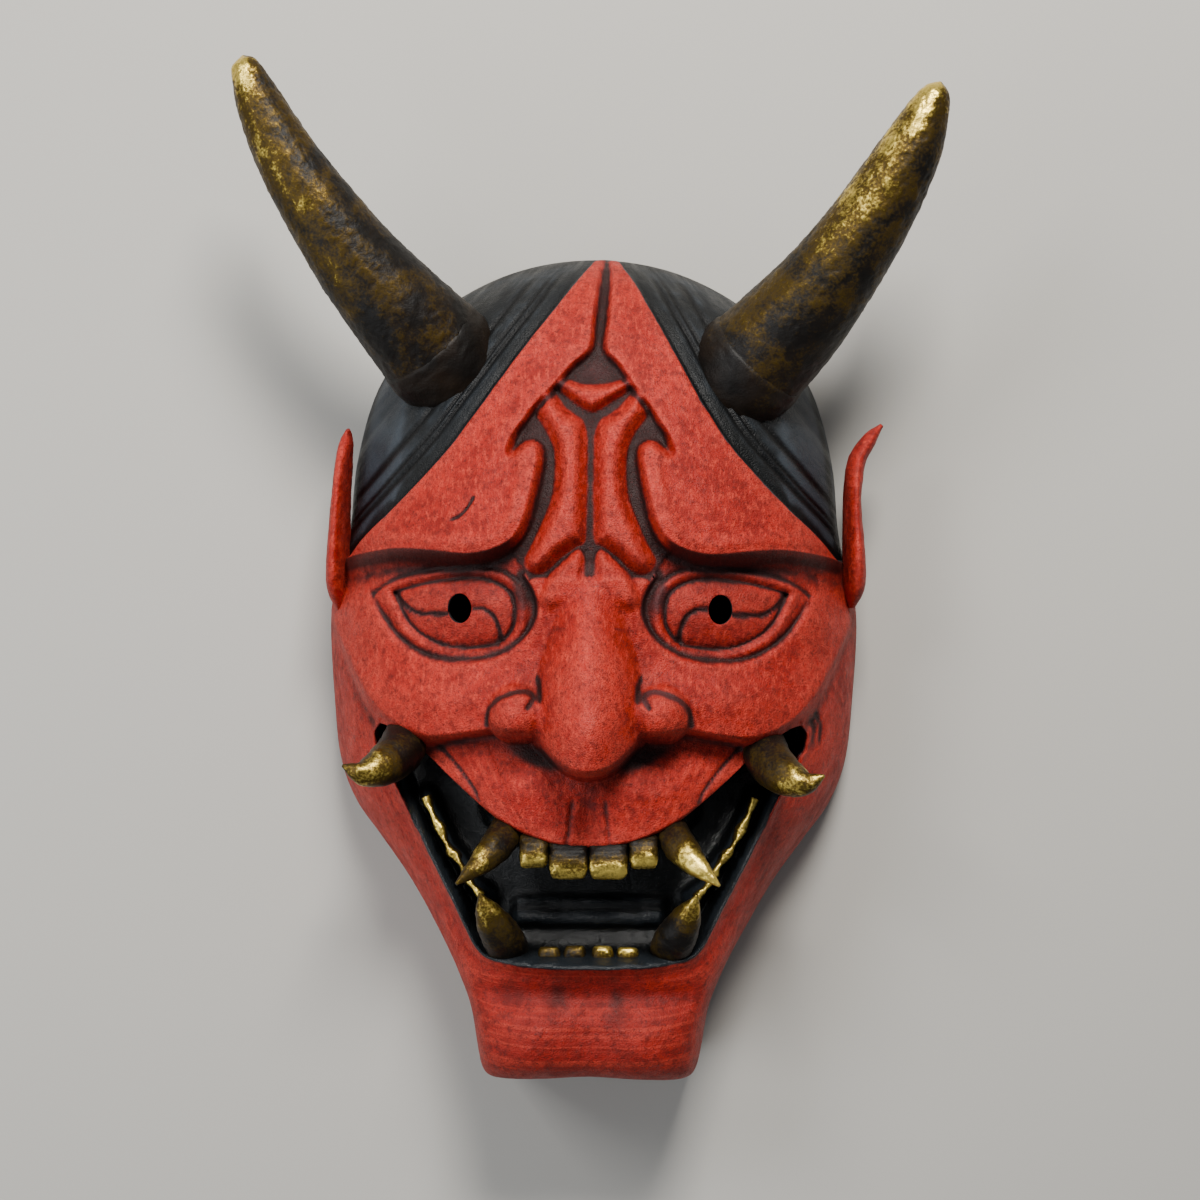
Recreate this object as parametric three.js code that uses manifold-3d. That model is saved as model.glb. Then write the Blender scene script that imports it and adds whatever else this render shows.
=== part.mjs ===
// A horned demon mask of painted cast resin, lying face up.
// Millimetres: +X to the viewer's right, +Y up the face to the horns, +Z out of the face, rim on z = 0.
// The shell (face, hair cap, ears, mouth and teeth) is one casting, and the two horns are glued on.

import * as THREE from 'three';
import { mergeVertices } from 'three/addons/utils/BufferGeometryUtils.js';
import Module from 'manifold-3d';

const wasm = await Module();
wasm.setup();

// Driving sizes
const FACE_HALF_WIDTH = 81.8;
const CROWN_Y = 101.5;
const CHIN_Y = -146;
const WALL = 5;
const ROOF = 7;
const BROW_PROUD = 6.5;
const SOCKET_DEPTH = 4.5;
const CHEEK_PROUD = 4.5;
const NOSE_PROUD = 25;
const LINING = 3.2;
const GLUE_GAP = 0.3;
const CROWN_LEAN = 3.8;
const PUPIL = { x: 36.8, y: -6.6, acrossRadius: 3.3, upRadius: 4.2 };

// Cutting tools reach this far up through the mask.
const CUT_HEIGHT = 120;

// Mesh fineness
const FACE_COLUMNS = 48;
const FACE_ROWS = 62;
const INSIDE_COLUMNS = 14;
const INSIDE_ROWS = 18;

// Small mathematics

const clamp = (value, low, high) => Math.min(high, Math.max(low, value));
const mix = (a, b, share) => a + (b - a) * share;
const hump = (distance, width) => Math.exp(-((distance / width) ** 2));
const bump = (dx, dy) => Math.exp(-(dx * dx + dy * dy));
const cap = (dx, dy) => Math.sqrt(Math.max(0, 1 - dx * dx - dy * dy));

function smooth(low, high, value) {
  const t = clamp((value - low) / (high - low), 0, 1);
  return t * t * (3 - 2 * t);
}

// A smooth line through a few points of its own, as [x, y] pairs.
function curve(points, steps = 5) {
  const spline = new THREE.SplineCurve(points.map(([x, y]) => new THREE.Vector2(x, y)));
  return spline.getPoints((points.length - 1) * steps).map((p) => [p.x, p.y]);
}

function nearest(x, y, line) {
  let best = { distance: Infinity, x, y };
  for (let i = 1; i < line.length; i += 1) {
    const [ax, ay] = line[i - 1];
    const [bx, by] = line[i];
    const length2 = (bx - ax) ** 2 + (by - ay) ** 2 || 1;
    const share = clamp(((x - ax) * (bx - ax) + (y - ay) * (by - ay)) / length2, 0, 1);
    const px = mix(ax, bx, share);
    const py = mix(ay, by, share);
    const distance = Math.hypot(x - px, y - py);
    if (distance < best.distance) best = { distance, x: px, y: py };
  }
  return best;
}

function inside(x, y, loop) {
  let hit = false;
  loop.forEach(([ax, ay], i) => {
    const [bx, by] = loop[(i + 1) % loop.length];
    if (ay > y !== by > y && x < ((bx - ax) * (y - ay)) / (by - ay) + ax) hit = !hit;
  });
  return hit;
}

// Distance to a line, positive on the inner side of the outline that it makes with its closing points.
function signed(x, y, line, closing = []) {
  const { distance } = nearest(x, y, line);
  return inside(x, y, [...line, ...closing]) ? distance : -distance;
}

// Outline of the rim and the carved lines, drawn for the right half of the face

const mirror = (line) => line.map(([x, y]) => [-x, y]);

const SIDE = curve([
  [33, CHIN_Y + 2.5], [34.6, -134], [37, -123], [42, -113], [49, -102], [57, -89], [65.5, -77.5],
  [73.8, -66], [78.6, -53], [80.6, -35], [FACE_HALF_WIDTH, -10], [79, 4], [76, 17], [74, 38], [68, 60],
  [57, 76.5],
], 8);
const CROWN = curve([
  [-57, 76.5], [-42, 89.5], [-22, 98.5], [0, CROWN_Y], [22, 98.5], [42, 89.5], [57, 76.5],
]);
const CHIN = curve([
  [-33, CHIN_Y + 2.5], [-28, CHIN_Y], [-15, CHIN_Y], [0, CHIN_Y + 0.7], [15, CHIN_Y], [28, CHIN_Y],
  [33, CHIN_Y + 2.5],
]);
const HAIRLINE = curve([
  [0, 100], [2.6, 99.2], [4.8, 94], [9.4, 83], [15.8, 74], [22, 66.5], [31, 52], [41, 38], [55, 23.5],
  [65, 15], [72.5, 8],
]);
const BROW_EDGE = curve([
  [72.5, 8], [68, 9], [56, 10.5], [45, 10], [35, 9], [28, 10], [22.5, 12.8], [19.3, 18], [17, 27],
  [15.5, 35.5],
]);
const BROW_HOOK = curve([
  [15.5, 35.5], [17, 39], [21.2, 35.5], [24.5, 38], [19.5, 47], [17, 51], [7, 63.5], [2.9, 68], [2.2, 82],
  [1.4, 99],
]);
const MUSCLE = curve([
  [15.5, 52], [15.6, 48.5], [11.3, 41], [10.2, 33], [11.2, 23.5], [17, 10], [17, 4.3], [11, 4.8], [4, 10.8],
  [1, 13], [0.6, 30], [0.8, 42], [5, 47.5], [10.5, 54],
]);
const CREST = curve([[0, 57], [9, 58.8], [11.6, 58], [6.5, 52], [0, 47.5]]);
const NOSE_ROOT = curve([[0.5, 4], [2.2, 10.6], [8, 7], [12.5, 2], [14.6, -4], [14.4, -9]]);
const EYE = curve([
  [56.5, -2], [48, 0.3], [38, 1.8], [31, 2], [25.5, 0.4], [21.2, -5], [21.6, -12], [25, -16], [31, -17.6],
  [39.5, -17.6], [46.5, -15], [52, -10.5], [56.5, -2],
]);
const EYE_MIDDLE = curve([
  [55.5, -2.6], [46.5, -8], [37, -7], [31, -6.5], [27.5, -8.3], [25.6, -12], [25, -16],
]);
const EYE_RING = curve([
  [64, -3], [59.5, -9], [48, -19.2], [40, -21], [29.5, -20.3], [22.5, -17.5], [17.5, -13], [15.2, -7.5],
  [19, 3],
]);
const CHEEK_EDGE = curve([
  [22, -39], [31, -40.5], [40, -42], [48, -42], [56, -38.9], [63.3, -33], [70.5, -23], [77, -12.5], [84, 0],
]);
const LIP_EDGE = curve([
  [61, -40], [56, -41.8], [47, -48.3], [39.5, -55.2], [32.5, -61.2], [25.5, -66.5], [18, -70.4], [9, -73.2],
  [0, -74],
], 2);
const JAW_EDGE = curve([
  [61, -40], [62.8, -43], [62, -48], [54.5, -61.5], [46.5, -78], [39, -92.5], [35.6, -101], [32, -107],
  [27.5, -110], [14.5, -111.8], [0, -112],
], 2);
const NOSE_UNDER = curve([
  [0, -51.5], [3, -51], [8, -48.5], [13.5, -44.8], [19, -43.8], [26, -43.2], [30, -41],
]);

// The middle line leans to the right towards the crown.
const lean = (y) => CROWN_LEAN * smooth(40, 98, y);

// The plain dome

function pointAlong(line, share) {
  const place = share * (line.length - 1);
  const i = Math.min(Math.floor(place), line.length - 2);
  return [mix(line[i][0], line[i + 1][0], place - i), mix(line[i][1], line[i + 1][1], place - i)];
}

// Plan position for s from -1 (left) to 1 (right) and t from -1 (chin) to 1 (crown), stretched between the
// four edges.
function plan(s, t) {
  const a = (s + 1) / 2;
  const b = (t + 1) / 2;
  const right = pointAlong(SIDE, b);
  const low = pointAlong(CHIN, a);
  const high = pointAlong(CROWN, a);
  const chinCorner = CHIN.at(-1);
  const crownCorner = CROWN.at(-1);
  const x = s * right[0] + mix(low[0], high[0], b) - s * mix(chinCorner[0], crownCorner[0], b);
  const y = right[1] + mix(low[1], high[1], b) - mix(chinCorner[1], crownCorner[1], b);
  return [x, y];
}

// How full the dome is at s and t, 1 in the middle and 0 on the rim: round across the face, square at the
// chin.
function fullness(s, t, y) {
  const square = mix(2.1, 4.5, smooth(-95, -125, y));
  const across = Math.sqrt(Math.max(0, 1 - Math.abs(s) ** square));
  return across * Math.sqrt(Math.max(0, 1 - Math.abs(t) ** (t > 0 ? 4 : 26)));
}

// Height of the dome along the middle of the face.
function crest(y) {
  return 66 + 10 * smooth(-105, 20, y) + 2.5 * bump(0, (y + 95) / 14);
}

// The carving, as heights over the dome

function hairRelief(u, y, toHair) {
  const strands = -1.2 * hump(toHair - 5, 1.2) - 0.8 * hump(toHair - 9.5, 1);
  return strands * smooth(94, 84, y);
}

function foreheadMiddle(u, y) {
  const muscle = signed(u, y, MUSCLE);
  const ornament = signed(u, y, CREST);
  return -1.5 + 5 * smooth(-0.8, 3.4, muscle) + 4 * smooth(-1, 2.4, ornament);
}

function eyeRelief(u, y) {
  const eye = signed(u, y, EYE);
  const socket = -SOCKET_DEPTH + 2.5 * smooth(34, 62, u);
  const ball = 6 * cap((u - 38) / 21, (y + 7.5) / 12);
  const lid = socket + 2 + 1.6 * hump(eye + 2.4, 2);
  const slit = 1.1 * hump(nearest(u, y, EYE_MIDDLE).distance, 1.3);
  return mix(lid, socket - 3 + ball - slit, smooth(-0.8, 0.8, eye));
}

function cheekRelief(u, y) {
  const plate = 1 + (CHEEK_PROUD - 1) * smooth(-16, -36, y) + 2 * smooth(62, 40, u) * smooth(-22, -34, y);
  const ring = signed(u, y, EYE_RING, [[30, 14], [64, 14]]);
  const groove = 1.8 * hump(nearest(u, y, EYE_RING).distance, 1.7) * smooth(67, 58, u);
  return mix(plate, eyeRelief(u, y), smooth(-1.2, 1.4, ring)) - groove;
}

function jawRelief(u, y) {
  const lip = signed(u, y, LIP_EDGE, [[0, -20], [61, -20]]);
  const upperLip = -2.5 + 6 * smooth(48, 18, u) * smooth(-42, -60, y);
  const rim = 1.6 * hump(nearest(u, y, JAW_EDGE).distance, 2.4);
  const band = -1 + rim - 2.6 * hump(y + 117, 2.6) * smooth(38, 28, u);
  const chinBump = 3 * bump((u - 15) / 11, (y + 129) / 9);
  return mix(band, upperLip, smooth(-1, 1, lip)) + chinBump;
}

function noseRelief(u, y) {
  const under = NOSE_UNDER.find(([x]) => x >= Math.min(u, 30))[1];
  const run = Math.sin((Math.PI / 2) * clamp((6 - y) / 54, 0, 1)) ** 1.5;
  const width = 8.5 + 8.5 * smooth(4, -34, y);
  const round = mix(1.3, 0.85, smooth(-5, -34, y));
  const across = Math.max(0, 1 - (u / width) ** 2) ** round;
  const bridge = NOSE_PROUD * (0.08 + 0.92 * run) * across * smooth(11, 3, y);
  const wings = 13 * cap((u - 20) / 9.6, (y + 36) / 9.4);
  return Math.hypot(bridge, wings) * smooth(under - 3, under + 3, y);
}

const MIDDLE_ZONE = [...BROW_EDGE.filter(([x]) => x < 24), ...BROW_HOOK];

function relief(x, y) {
  const u = Math.abs(x - lean(y));
  const toHair = nearest(u, y, HAIRLINE).distance;
  const toBrow = nearest(u, y, BROW_EDGE).distance;
  const toHook = nearest(u, y, BROW_HOOK).distance;
  const cheek = signed(u, y, CHEEK_EDGE, [[83, 40], [0, 40], [0, -39]]);
  const drop = 3.5 + 2.5 * smooth(38, 48, u) - 3.5 * smooth(60, 78, u);
  const face = mix(jawRelief(u, y), cheekRelief(u, y), smooth(-drop, 0, cheek));
  const middle = signed(u, y, MIDDLE_ZONE, [[0, 99], [0, 2], [17, 2]]);
  const around = mix(face, foreheadMiddle(u, y), smooth(-2, 2, middle));
  const plate = signed(u, y, [...HAIRLINE, ...BROW_EDGE.slice(1), ...BROW_HOOK.slice(1)]);
  const hairSide = toHair < Math.min(toBrow, toHook);
  const under = hairSide ? hairRelief(u, y, toHair) : around;
  const reach = hairSide ? 1.2 : 2 + 5 * smooth(13, 8, y) * smooth(40, 66, u);
  const brow = 2.8 + (BROW_PROUD - 2.8) * smooth(55, 14, y);
  const forehead = mix(under, brow, smooth(-reach, 0.2, plate));
  const root = 3.5 * smooth(-1, 2.6, signed(u, y, NOSE_ROOT, [[0, -9]]));
  const nose = Math.max(noseRelief(u, y), root);
  const ground = forehead * 0.35 * smooth(-36, -14, y);
  return Math.max(forehead, mix(forehead, ground + nose, smooth(0, 1.2, nose)));
}

// Closed meshes from grids and rings

// Grid spacing as [share of the lines, place] pairs: fine over the carving and on the steep sides, coarse
// between.
const ACROSS = [[0, 0], [0.46, 0.34], [0.82, 0.71], [0.94, 0.96], [1, 1]];
const ALONG = [
  [-1, -1], [-0.92, -0.985], [-0.84, -0.93], [-0.66, -0.72], [-0.5, -0.26], [0.52, 0.69], [0.72, 0.88],
  [0.88, 0.98], [1, 1],
];

function spaced(share, pairs) {
  const i = Math.max(1, pairs.findIndex(([from]) => from >= share));
  const [a, low] = pairs[i - 1];
  const [b, high] = pairs[i];
  return mix(low, high, (share - a) / (b - a));
}

const spacedAcross = (share) => Math.sign(share) * spaced(Math.abs(share), ACROSS);

// Pulls a plan position towards a carved line, so that the mesh is finest where the carving is sharpest.
function drawn(x, y, line, strength, width) {
  const across = x - lean(y);
  const near = nearest(Math.abs(across), y, line);
  const pull = strength * hump(near.distance, width);
  return [x + Math.sign(across) * (near.x - Math.abs(across)) * pull, y + (near.y - y) * pull];
}

// A closed body under a grid of points, down to the level z = base.
function gridBody(columns, rows, base, point) {
  const vertices = [];
  for (let j = 0; j <= rows; j += 1) {
    for (let i = 0; i <= columns; i += 1) vertices.push(point((2 * i) / columns - 1, (2 * j) / rows - 1));
  }
  const index = [];
  const at = (i, j) => j * (columns + 1) + i;
  for (let j = 0; j < rows; j += 1) {
    for (let i = 0; i < columns; i += 1) {
      const [a, b, c, d] = [at(i, j), at(i + 1, j), at(i + 1, j + 1), at(i, j + 1)];
      const step = (from, to) => Math.abs(vertices[from][2] - vertices[to][2]);
      index.push(...(step(a, c) < step(b, d) ? [a, b, c, a, c, d] : [a, b, d, b, c, d]));
    }
  }
  const edge = [];
  for (let i = 0; i < columns; i += 1) edge.push(at(i, 0));
  for (let j = 0; j < rows; j += 1) edge.push(at(columns, j));
  for (let i = columns; i > 0; i -= 1) edge.push(at(i, rows));
  for (let j = rows; j > 0; j -= 1) edge.push(at(0, j));
  const foot = edge.map((v) => vertices.push([vertices[v][0], vertices[v][1], base]) - 1);
  const middle = vertices.push([0, 0.5 * (vertices[at(0, 0)][1] + vertices[at(0, rows)][1]), base]) - 1;
  const flat = edge.every((v) => Math.abs(vertices[v][2] - base) < 1e-6);
  edge.forEach((v, k) => {
    const next = (k + 1) % edge.length;
    if (flat) {
      index.push(edge[next], v, middle);
    } else {
      index.push(v, foot[k], edge[next], edge[next], foot[k], foot[next], foot[next], foot[k], middle);
    }
  });
  return geometry(vertices, index);
}

function geometry(vertices, index) {
  const shape = new THREE.BufferGeometry();
  shape.setAttribute('position', new THREE.Float32BufferAttribute(vertices.flat(), 3));
  shape.setIndex(index);
  return shape;
}

// A limb of oval rings along a bent path. Each station is [x, y, z, half width, half depth].
function limb(stations, around = 14, steps = 3) {
  const path = new THREE.CatmullRomCurve3(stations.map(([x, y, z]) => new THREE.Vector3(x, y, z)));
  const count = (stations.length - 1) * steps;
  const vertices = [];
  const index = [];
  for (let k = 0; k <= count; k += 1) {
    const share = k / count;
    const [width, depth] = pointAlong(stations.map((station) => station.slice(3)), share);
    const centre = path.getPoint(share);
    const heading = path.getTangent(share);
    const side = new THREE.Vector3(0, 0, 1).cross(heading).normalize();
    const up = heading.clone().cross(side);
    for (let i = 0; i < around; i += 1) {
      const angle = (2 * Math.PI * i) / around;
      const p = centre.clone().addScaledVector(side, width * Math.cos(angle));
      p.addScaledVector(up, depth * Math.sin(angle));
      vertices.push(p.toArray());
      const next = (i + 1) % around;
      const low = k * around;
      if (k < count) {
        index.push(low + i, low + next, low + around + next, low + i, low + around + next, low + around + i);
      }
    }
  }
  const first = vertices.push(path.getPoint(0).toArray()) - 1;
  const last = vertices.push(path.getPoint(1).toArray()) - 1;
  for (let i = 0; i < around; i += 1) {
    const next = (i + 1) % around;
    index.push(first, next, i, last, count * around + i, count * around + next);
  }
  return geometry(vertices, index);
}

// A prism with a plan outline between two levels.
function prism(outline, low, high) {
  const shape = new THREE.Shape(outline.map(([x, y]) => new THREE.Vector2(x, y)));
  return new THREE.ExtrudeGeometry(shape, { depth: high - low, bevelEnabled: false }).translate(0, 0, low);
}

// The outline moved outwards along its own normals.
function grown(outline, by) {
  return outline.map(([x, y], i) => {
    const [ax, ay] = outline.at(i - 1);
    const [bx, by2] = outline[(i + 1) % outline.length];
    const length = Math.hypot(bx - ax, by2 - ay);
    return [x + (by * (by2 - ay)) / length, y - (by * (bx - ax)) / length];
  });
}

// Joining and cutting

function solid(shape) {
  const bare = shape.clone();
  bare.deleteAttribute('normal');
  bare.deleteAttribute('uv');
  const merged = mergeVertices(bare, 1e-4);
  return new wasm.Manifold(new wasm.Mesh({
    numProp: 3,
    vertProperties: Float32Array.from(merged.attributes.position.array),
    triVerts: Uint32Array.from(merged.index.array),
  }));
}

function meshed(body) {
  const { vertProperties, triVerts } = body.getMesh();
  const shape = new THREE.BufferGeometry();
  shape.setAttribute('position', new THREE.Float32BufferAttribute(vertProperties, 3));
  shape.setIndex([...triVerts]);
  const flat = shape.toNonIndexed();
  flat.computeVertexNormals();
  return flat;
}

// Shell

const DRAWN = [[HAIRLINE, 3.5], [BROW_EDGE, 4], [BROW_HOOK, 3], [EYE, 3], [NOSE_UNDER, 3.5], [CHEEK_EDGE, 4]];

function facePoint(a, b) {
  const s = spacedAcross(a);
  const t = spaced(b, ALONG);
  const [px, py] = plan(s, t);
  const full = fullness(s, t, py);
  const held = full < 0.3 ? 0 : 0.7 * smooth(0.3, 0.5, full);
  let [x, y] = [px, py];
  for (const [line, width] of DRAWN) [x, y] = drawn(x, y, line, held, width);
  return [x, y, crest(py) * full + relief(x, y) * smooth(0, 0.45, full)];
}

// A plain layer under the face: so far in from the sides, and so far below the top.
function layerPoint(wall, roof) {
  return (a, b) => {
    const s = Math.sin((a * Math.PI) / 2);
    const t = Math.sin((b * Math.PI) / 2);
    const [x, y] = plan(s, t);
    const full = fullness(s, t, y);
    const eyes = -1.3 * SOCKET_DEPTH * bump((Math.abs(x) - 38) / 25, (y + 6) / 16);
    const nose = 9 * bump(x / 14, (y + 34) / 17);
    return [x - wall * s, y - wall * t, (crest(y) - roof + eyes + nose) * full];
  };
}

// Floor of the mouth, set well back behind the teeth.
function mouthFloor(x, y) {
  const bowl = 50 * Math.sqrt(1 - (x / 80) ** 2);
  return bowl + 7 * smooth(-96, -112, y) - 4 * smooth(-60, -45, y);
}

function floorPoint(drop) {
  const [left, right, low, high] = [-72, 72, -122, -32];
  return (a, b) => {
    const x = mix(left, right, (a + 1) / 2);
    const y = mix(low, high, (b + 1) / 2);
    return [x, y, mouthFloor(x, y) - drop];
  };
}

const FANG_TIP = 0.4;

// Right-hand fangs and teeth: [x, y, z, half width, half depth] from root to tip.
const CORNER_TUSK = [
  [53, -43.5, 50, 6.5, 6.5], [54, -47.2, 62, 6.6, 6.6], [57.5, -50.8, 71, 5.7, 5.7],
  [63, -52.6, 76, 3.7, 3.7], [68.4, -50.4, 78, FANG_TIP, FANG_TIP],
];
const UPPER_CANINE = [
  [23, -69, 60, 4.8, 4.8], [26, -73.5, 70, 4.7, 4.7], [31, -78.5, 76, 3, 3],
  [36.5, -83, 79, FANG_TIP, FANG_TIP],
];
const LOWER_CANINE = [
  [22.5, -108, 54, 5.4, 5.4], [24.5, -102, 63, 5.9, 5.6], [28, -94, 69, 4, 4],
  [30.5, -87, 72, FANG_TIP, FANG_TIP],
];

function tooth(x, y, z, halfWidth, length) {
  return limb([
    [x, y, z - 2, halfWidth, 3], [x, y - length * 0.5, z, halfWidth, 3],
    [x, y - length, z, halfWidth * 0.75, 1.8],
  ], 8, 1);
}

function teethOf(side) {
  const mirrored = (stations) => stations.map(([x, ...rest]) => [x * side, ...rest]);
  const parts = [
    limb(mirrored(CORNER_TUSK), 8, 2),
    limb(mirrored(UPPER_CANINE), 8, 2),
    limb(mirrored(LOWER_CANINE), 8, 2),
    tooth(5.6 * side, -72, 69, 5.4, 10),
    tooth(15.4 * side, -71, 68, 4.1, 8),
    tooth(4 * side, -113, 61, 3.4, -9),
    tooth(11.4 * side, -113, 60.5, 3.6, -8.5),
  ];
  for (const [x, y] of curve([[49.5, -61], [44, -72], [37, -87]], 2)) {
    const floor = mouthFloor(x, y);
    parts.push(limb([
      [x * side, y, floor - 1, 3.6, 3.2], [(x - 0.8) * side, y, floor + 8, 3.4, 3],
      [(x - 1) * side, y, floor + 10.5, 1.8, 1.6],
    ], 6, 1));
  }
  return parts;
}

// The ears are thin upright blades at the sides: [x, y, z, half thickness, half depth].
const EAR_LEFT = [
  [-75.5, -7.5, 30, 1, 4], [-76.2, -1, 30, 3, 12], [-76.2, 8, 30, 2.9, 15], [-75.6, 25, 30, 2.4, 13],
  [-74.6, 37, 31, 2.2, 10], [-73.8, 43, 32, 1.9, 6], [-73.3, 46.4, 33, 0.6, 2],
];
const EAR_RIGHT = [
  [77.4, -6, 30, 1, 4], [78.2, 0, 30, 3.1, 12], [78.2, 9, 30, 3, 15], [77.6, 25, 30, 2.4, 13],
  [78.6, 37, 31, 2.6, 10], [82.5, 44.3, 32, 2.2, 6], [86, 48.5, 33, 0.6, 2],
];

// Centre lines of the horns, from inside the cap to the tip: [x, y, z, radius].
const HORN_LEFT = [
  [-41, 60, 38, 17.2], [-48, 71, 48, 16.3], [-56.3, 80, 54, 14.7], [-66.8, 92, 59, 12.8],
  [-76.2, 105, 63, 11], [-85.8, 119.5, 66, 9.1], [-93.6, 134.7, 68, 6.9], [-97.2, 143.8, 69, 4.8],
  [-98.2, 147.4, 69.3, 3.1], [-98.7, 149, 69.5, 0.3],
];
const HORN_RIGHT = [
  [41, 57, 38, 17], [48.6, 67, 48, 16.2], [58.4, 77, 54, 15], [67.3, 87.5, 60, 13.2], [76, 99.5, 65, 11.7],
  [83.6, 112, 69.5, 10.2], [89.7, 123.5, 73, 8.4], [94, 133.6, 76, 5.6], [95.8, 138, 77, 3.4],
  [96.6, 140, 77.5, 0.3],
];
const COLLAR_LENGTH = 4;
const COLLAR_LIP = 1.4;

const ovalStations = (line) => line.map(([x, y, z, radius]) => [x, y, z, radius, radius]);

// The raised collar under a horn: the foot of the horn's own line, a little wider.
function collar(line) {
  const [root, low, high] = line;
  const heading = new THREE.Vector3(high[0] - low[0], high[1] - low[1], high[2] - low[2]).normalize();
  const end = new THREE.Vector3(low[0], low[1], low[2]).addScaledVector(heading, COLLAR_LENGTH);
  return limb([
    [root[0], root[1], root[2], root[3], root[3]],
    [low[0], low[1], low[2], low[3] + COLLAR_LIP, low[3] + COLLAR_LIP],
    [end.x, end.y, end.z, low[3] + COLLAR_LIP / 2, low[3] + COLLAR_LIP / 2],
  ], 16, 1);
}

function build() {
  const front = solid(gridBody(FACE_COLUMNS, FACE_ROWS, 0, facePoint));
  const hollow = solid(gridBody(INSIDE_COLUMNS, INSIDE_ROWS, -WALL, layerPoint(WALL, ROOF)));
  const midWall = solid(gridBody(INSIDE_COLUMNS, INSIDE_ROWS, 0, layerPoint(WALL / 2, ROOF / 2)));
  const mouth = [...LIP_EDGE.slice(0, -1), ...mirror(LIP_EDGE).reverse(), ...mirror(JAW_EDGE).slice(1),
    ...JAW_EDGE.slice(1, -1).reverse()];
  const below = (drop) => solid(gridBody(12, 8, 0, floorPoint(drop)));
  const casing = solid(prism(grown(mouth, LINING), 0, CUT_HEIGHT)).subtract(below(LINING)).intersect(midWall);
  const pocket = solid(prism(mouth, 0, CUT_HEIGHT)).subtract(below(0));
  const pupil = new THREE.CylinderGeometry(PUPIL.acrossRadius, PUPIL.acrossRadius, CUT_HEIGHT, 16);
  pupil.rotateX(Math.PI / 2);
  pupil.scale(1, PUPIL.upRadius / PUPIL.acrossRadius, 1);
  const cavity = hollow.subtract(casing);
  let shell = front.subtract(cavity).subtract(pocket);
  for (const side of [-1, 1]) {
    shell = shell.subtract(solid(pupil.clone().translate(side * PUPIL.x, PUPIL.y, CUT_HEIGHT / 2)));
    for (const part of teethOf(side)) shell = shell.add(solid(part).subtract(cavity));
  }
  for (const ear of [EAR_LEFT, EAR_RIGHT]) shell = shell.add(solid(limb(ear, 8, 1)).subtract(cavity));
  for (const line of [HORN_LEFT, HORN_RIGHT]) shell = shell.add(solid(collar(line)).subtract(cavity));
  return { shell, front };
}

// A horn, cut to sit on the cap and its collar with a thin line of glue between.
function horn(line, front) {
  const [root, low] = line;
  const heading = new THREE.Vector3(low[0] - root[0], low[1] - root[1], low[2] - root[2]).normalize();
  const seat = front.add(solid(collar(line)));
  const lifted = seat.translate(heading.multiplyScalar(GLUE_GAP).toArray());
  return solid(limb(ovalStations(line), 14, 2)).subtract(seat).subtract(lifted);
}

// Assembly, with the origin under the middle of the mask's bounding box

function painted(name, body, color, roughness) {
  const paint = new THREE.MeshStandardMaterial({ color, roughness, metalness: 0 });
  const mesh = new THREE.Mesh(meshed(body), paint);
  mesh.name = name;
  return mesh;
}

const { shell, front } = build();
const mask = new THREE.Group();
mask.add(painted('mask_shell', shell, 0xb0352a, 0.7));
mask.add(painted('horn_left', horn(HORN_LEFT, front), 0x8a6a2c, 0.5));
mask.add(painted('horn_right', horn(HORN_RIGHT, front), 0x8a6a2c, 0.5));
const bounds = new THREE.Box3().setFromObject(mask);
const centre = bounds.getCenter(new THREE.Vector3());
mask.position.set(-centre.x, -centre.y, -bounds.min.z);

export default mask;
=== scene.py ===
# %% [markdown]
# # A horned demon mask, lying face up
# The real mask is a hollow cast of polyurethane resin, painted by hand: red with a dark wash in its
# carving, a blue-black cap of hair, a glossy black mouth, and gold brushed over dark brown on its teeth and
# horns. This lesson builds it as carved surfaces worked out with numpy, in millimetres, and turns them to
# metres at the end.

# %% Load the measured frame
import math

import bpy
import numpy as np
from mathutils import Matrix, Vector


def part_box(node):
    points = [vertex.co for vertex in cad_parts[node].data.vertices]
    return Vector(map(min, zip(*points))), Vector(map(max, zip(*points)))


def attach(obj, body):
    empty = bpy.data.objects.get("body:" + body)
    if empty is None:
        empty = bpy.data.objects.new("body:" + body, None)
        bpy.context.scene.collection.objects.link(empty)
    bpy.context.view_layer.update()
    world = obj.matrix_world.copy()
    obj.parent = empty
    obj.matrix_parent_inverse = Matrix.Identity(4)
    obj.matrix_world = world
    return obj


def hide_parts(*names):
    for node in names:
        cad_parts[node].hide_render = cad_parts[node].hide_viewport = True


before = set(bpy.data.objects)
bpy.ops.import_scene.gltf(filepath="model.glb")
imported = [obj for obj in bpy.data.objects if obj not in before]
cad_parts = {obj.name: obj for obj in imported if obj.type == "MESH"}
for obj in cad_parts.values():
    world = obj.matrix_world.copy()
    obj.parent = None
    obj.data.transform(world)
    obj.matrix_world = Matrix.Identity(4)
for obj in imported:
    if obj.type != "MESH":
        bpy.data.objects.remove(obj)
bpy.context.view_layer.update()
SHELL_LOW, SHELL_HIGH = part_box("mask_shell")
print("shell box in metres", SHELL_LOW, SHELL_HIGH)

# %% [markdown]
# ## One set of axes for the carving
# The carver's lines are drawn from the middle of the face: x to the viewer's right, y up the face, z out of
# it. The frame's own zero lies under the middle of the whole mask, horns included, so a fixed step leads
# from one to the other. It is read off the shell's box, because the shell's left side and its crown stand
# at known places.

# %% Main sizes of the carving, in millimetres
MM = 0.001
FACE_HALF_WIDTH = 81.8
CROWN_Y = 101.5
CHIN_Y = -146.0
CROWN_LEAN = 3.8

# %% [markdown]
# ## The carver's small tools
# A carved surface can be written as a height over the plan. Each cut or ridge then needs the distance from
# a point to a drawn line, and a rule that turns this distance into height. These few functions work on
# whole arrays at once.

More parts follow.
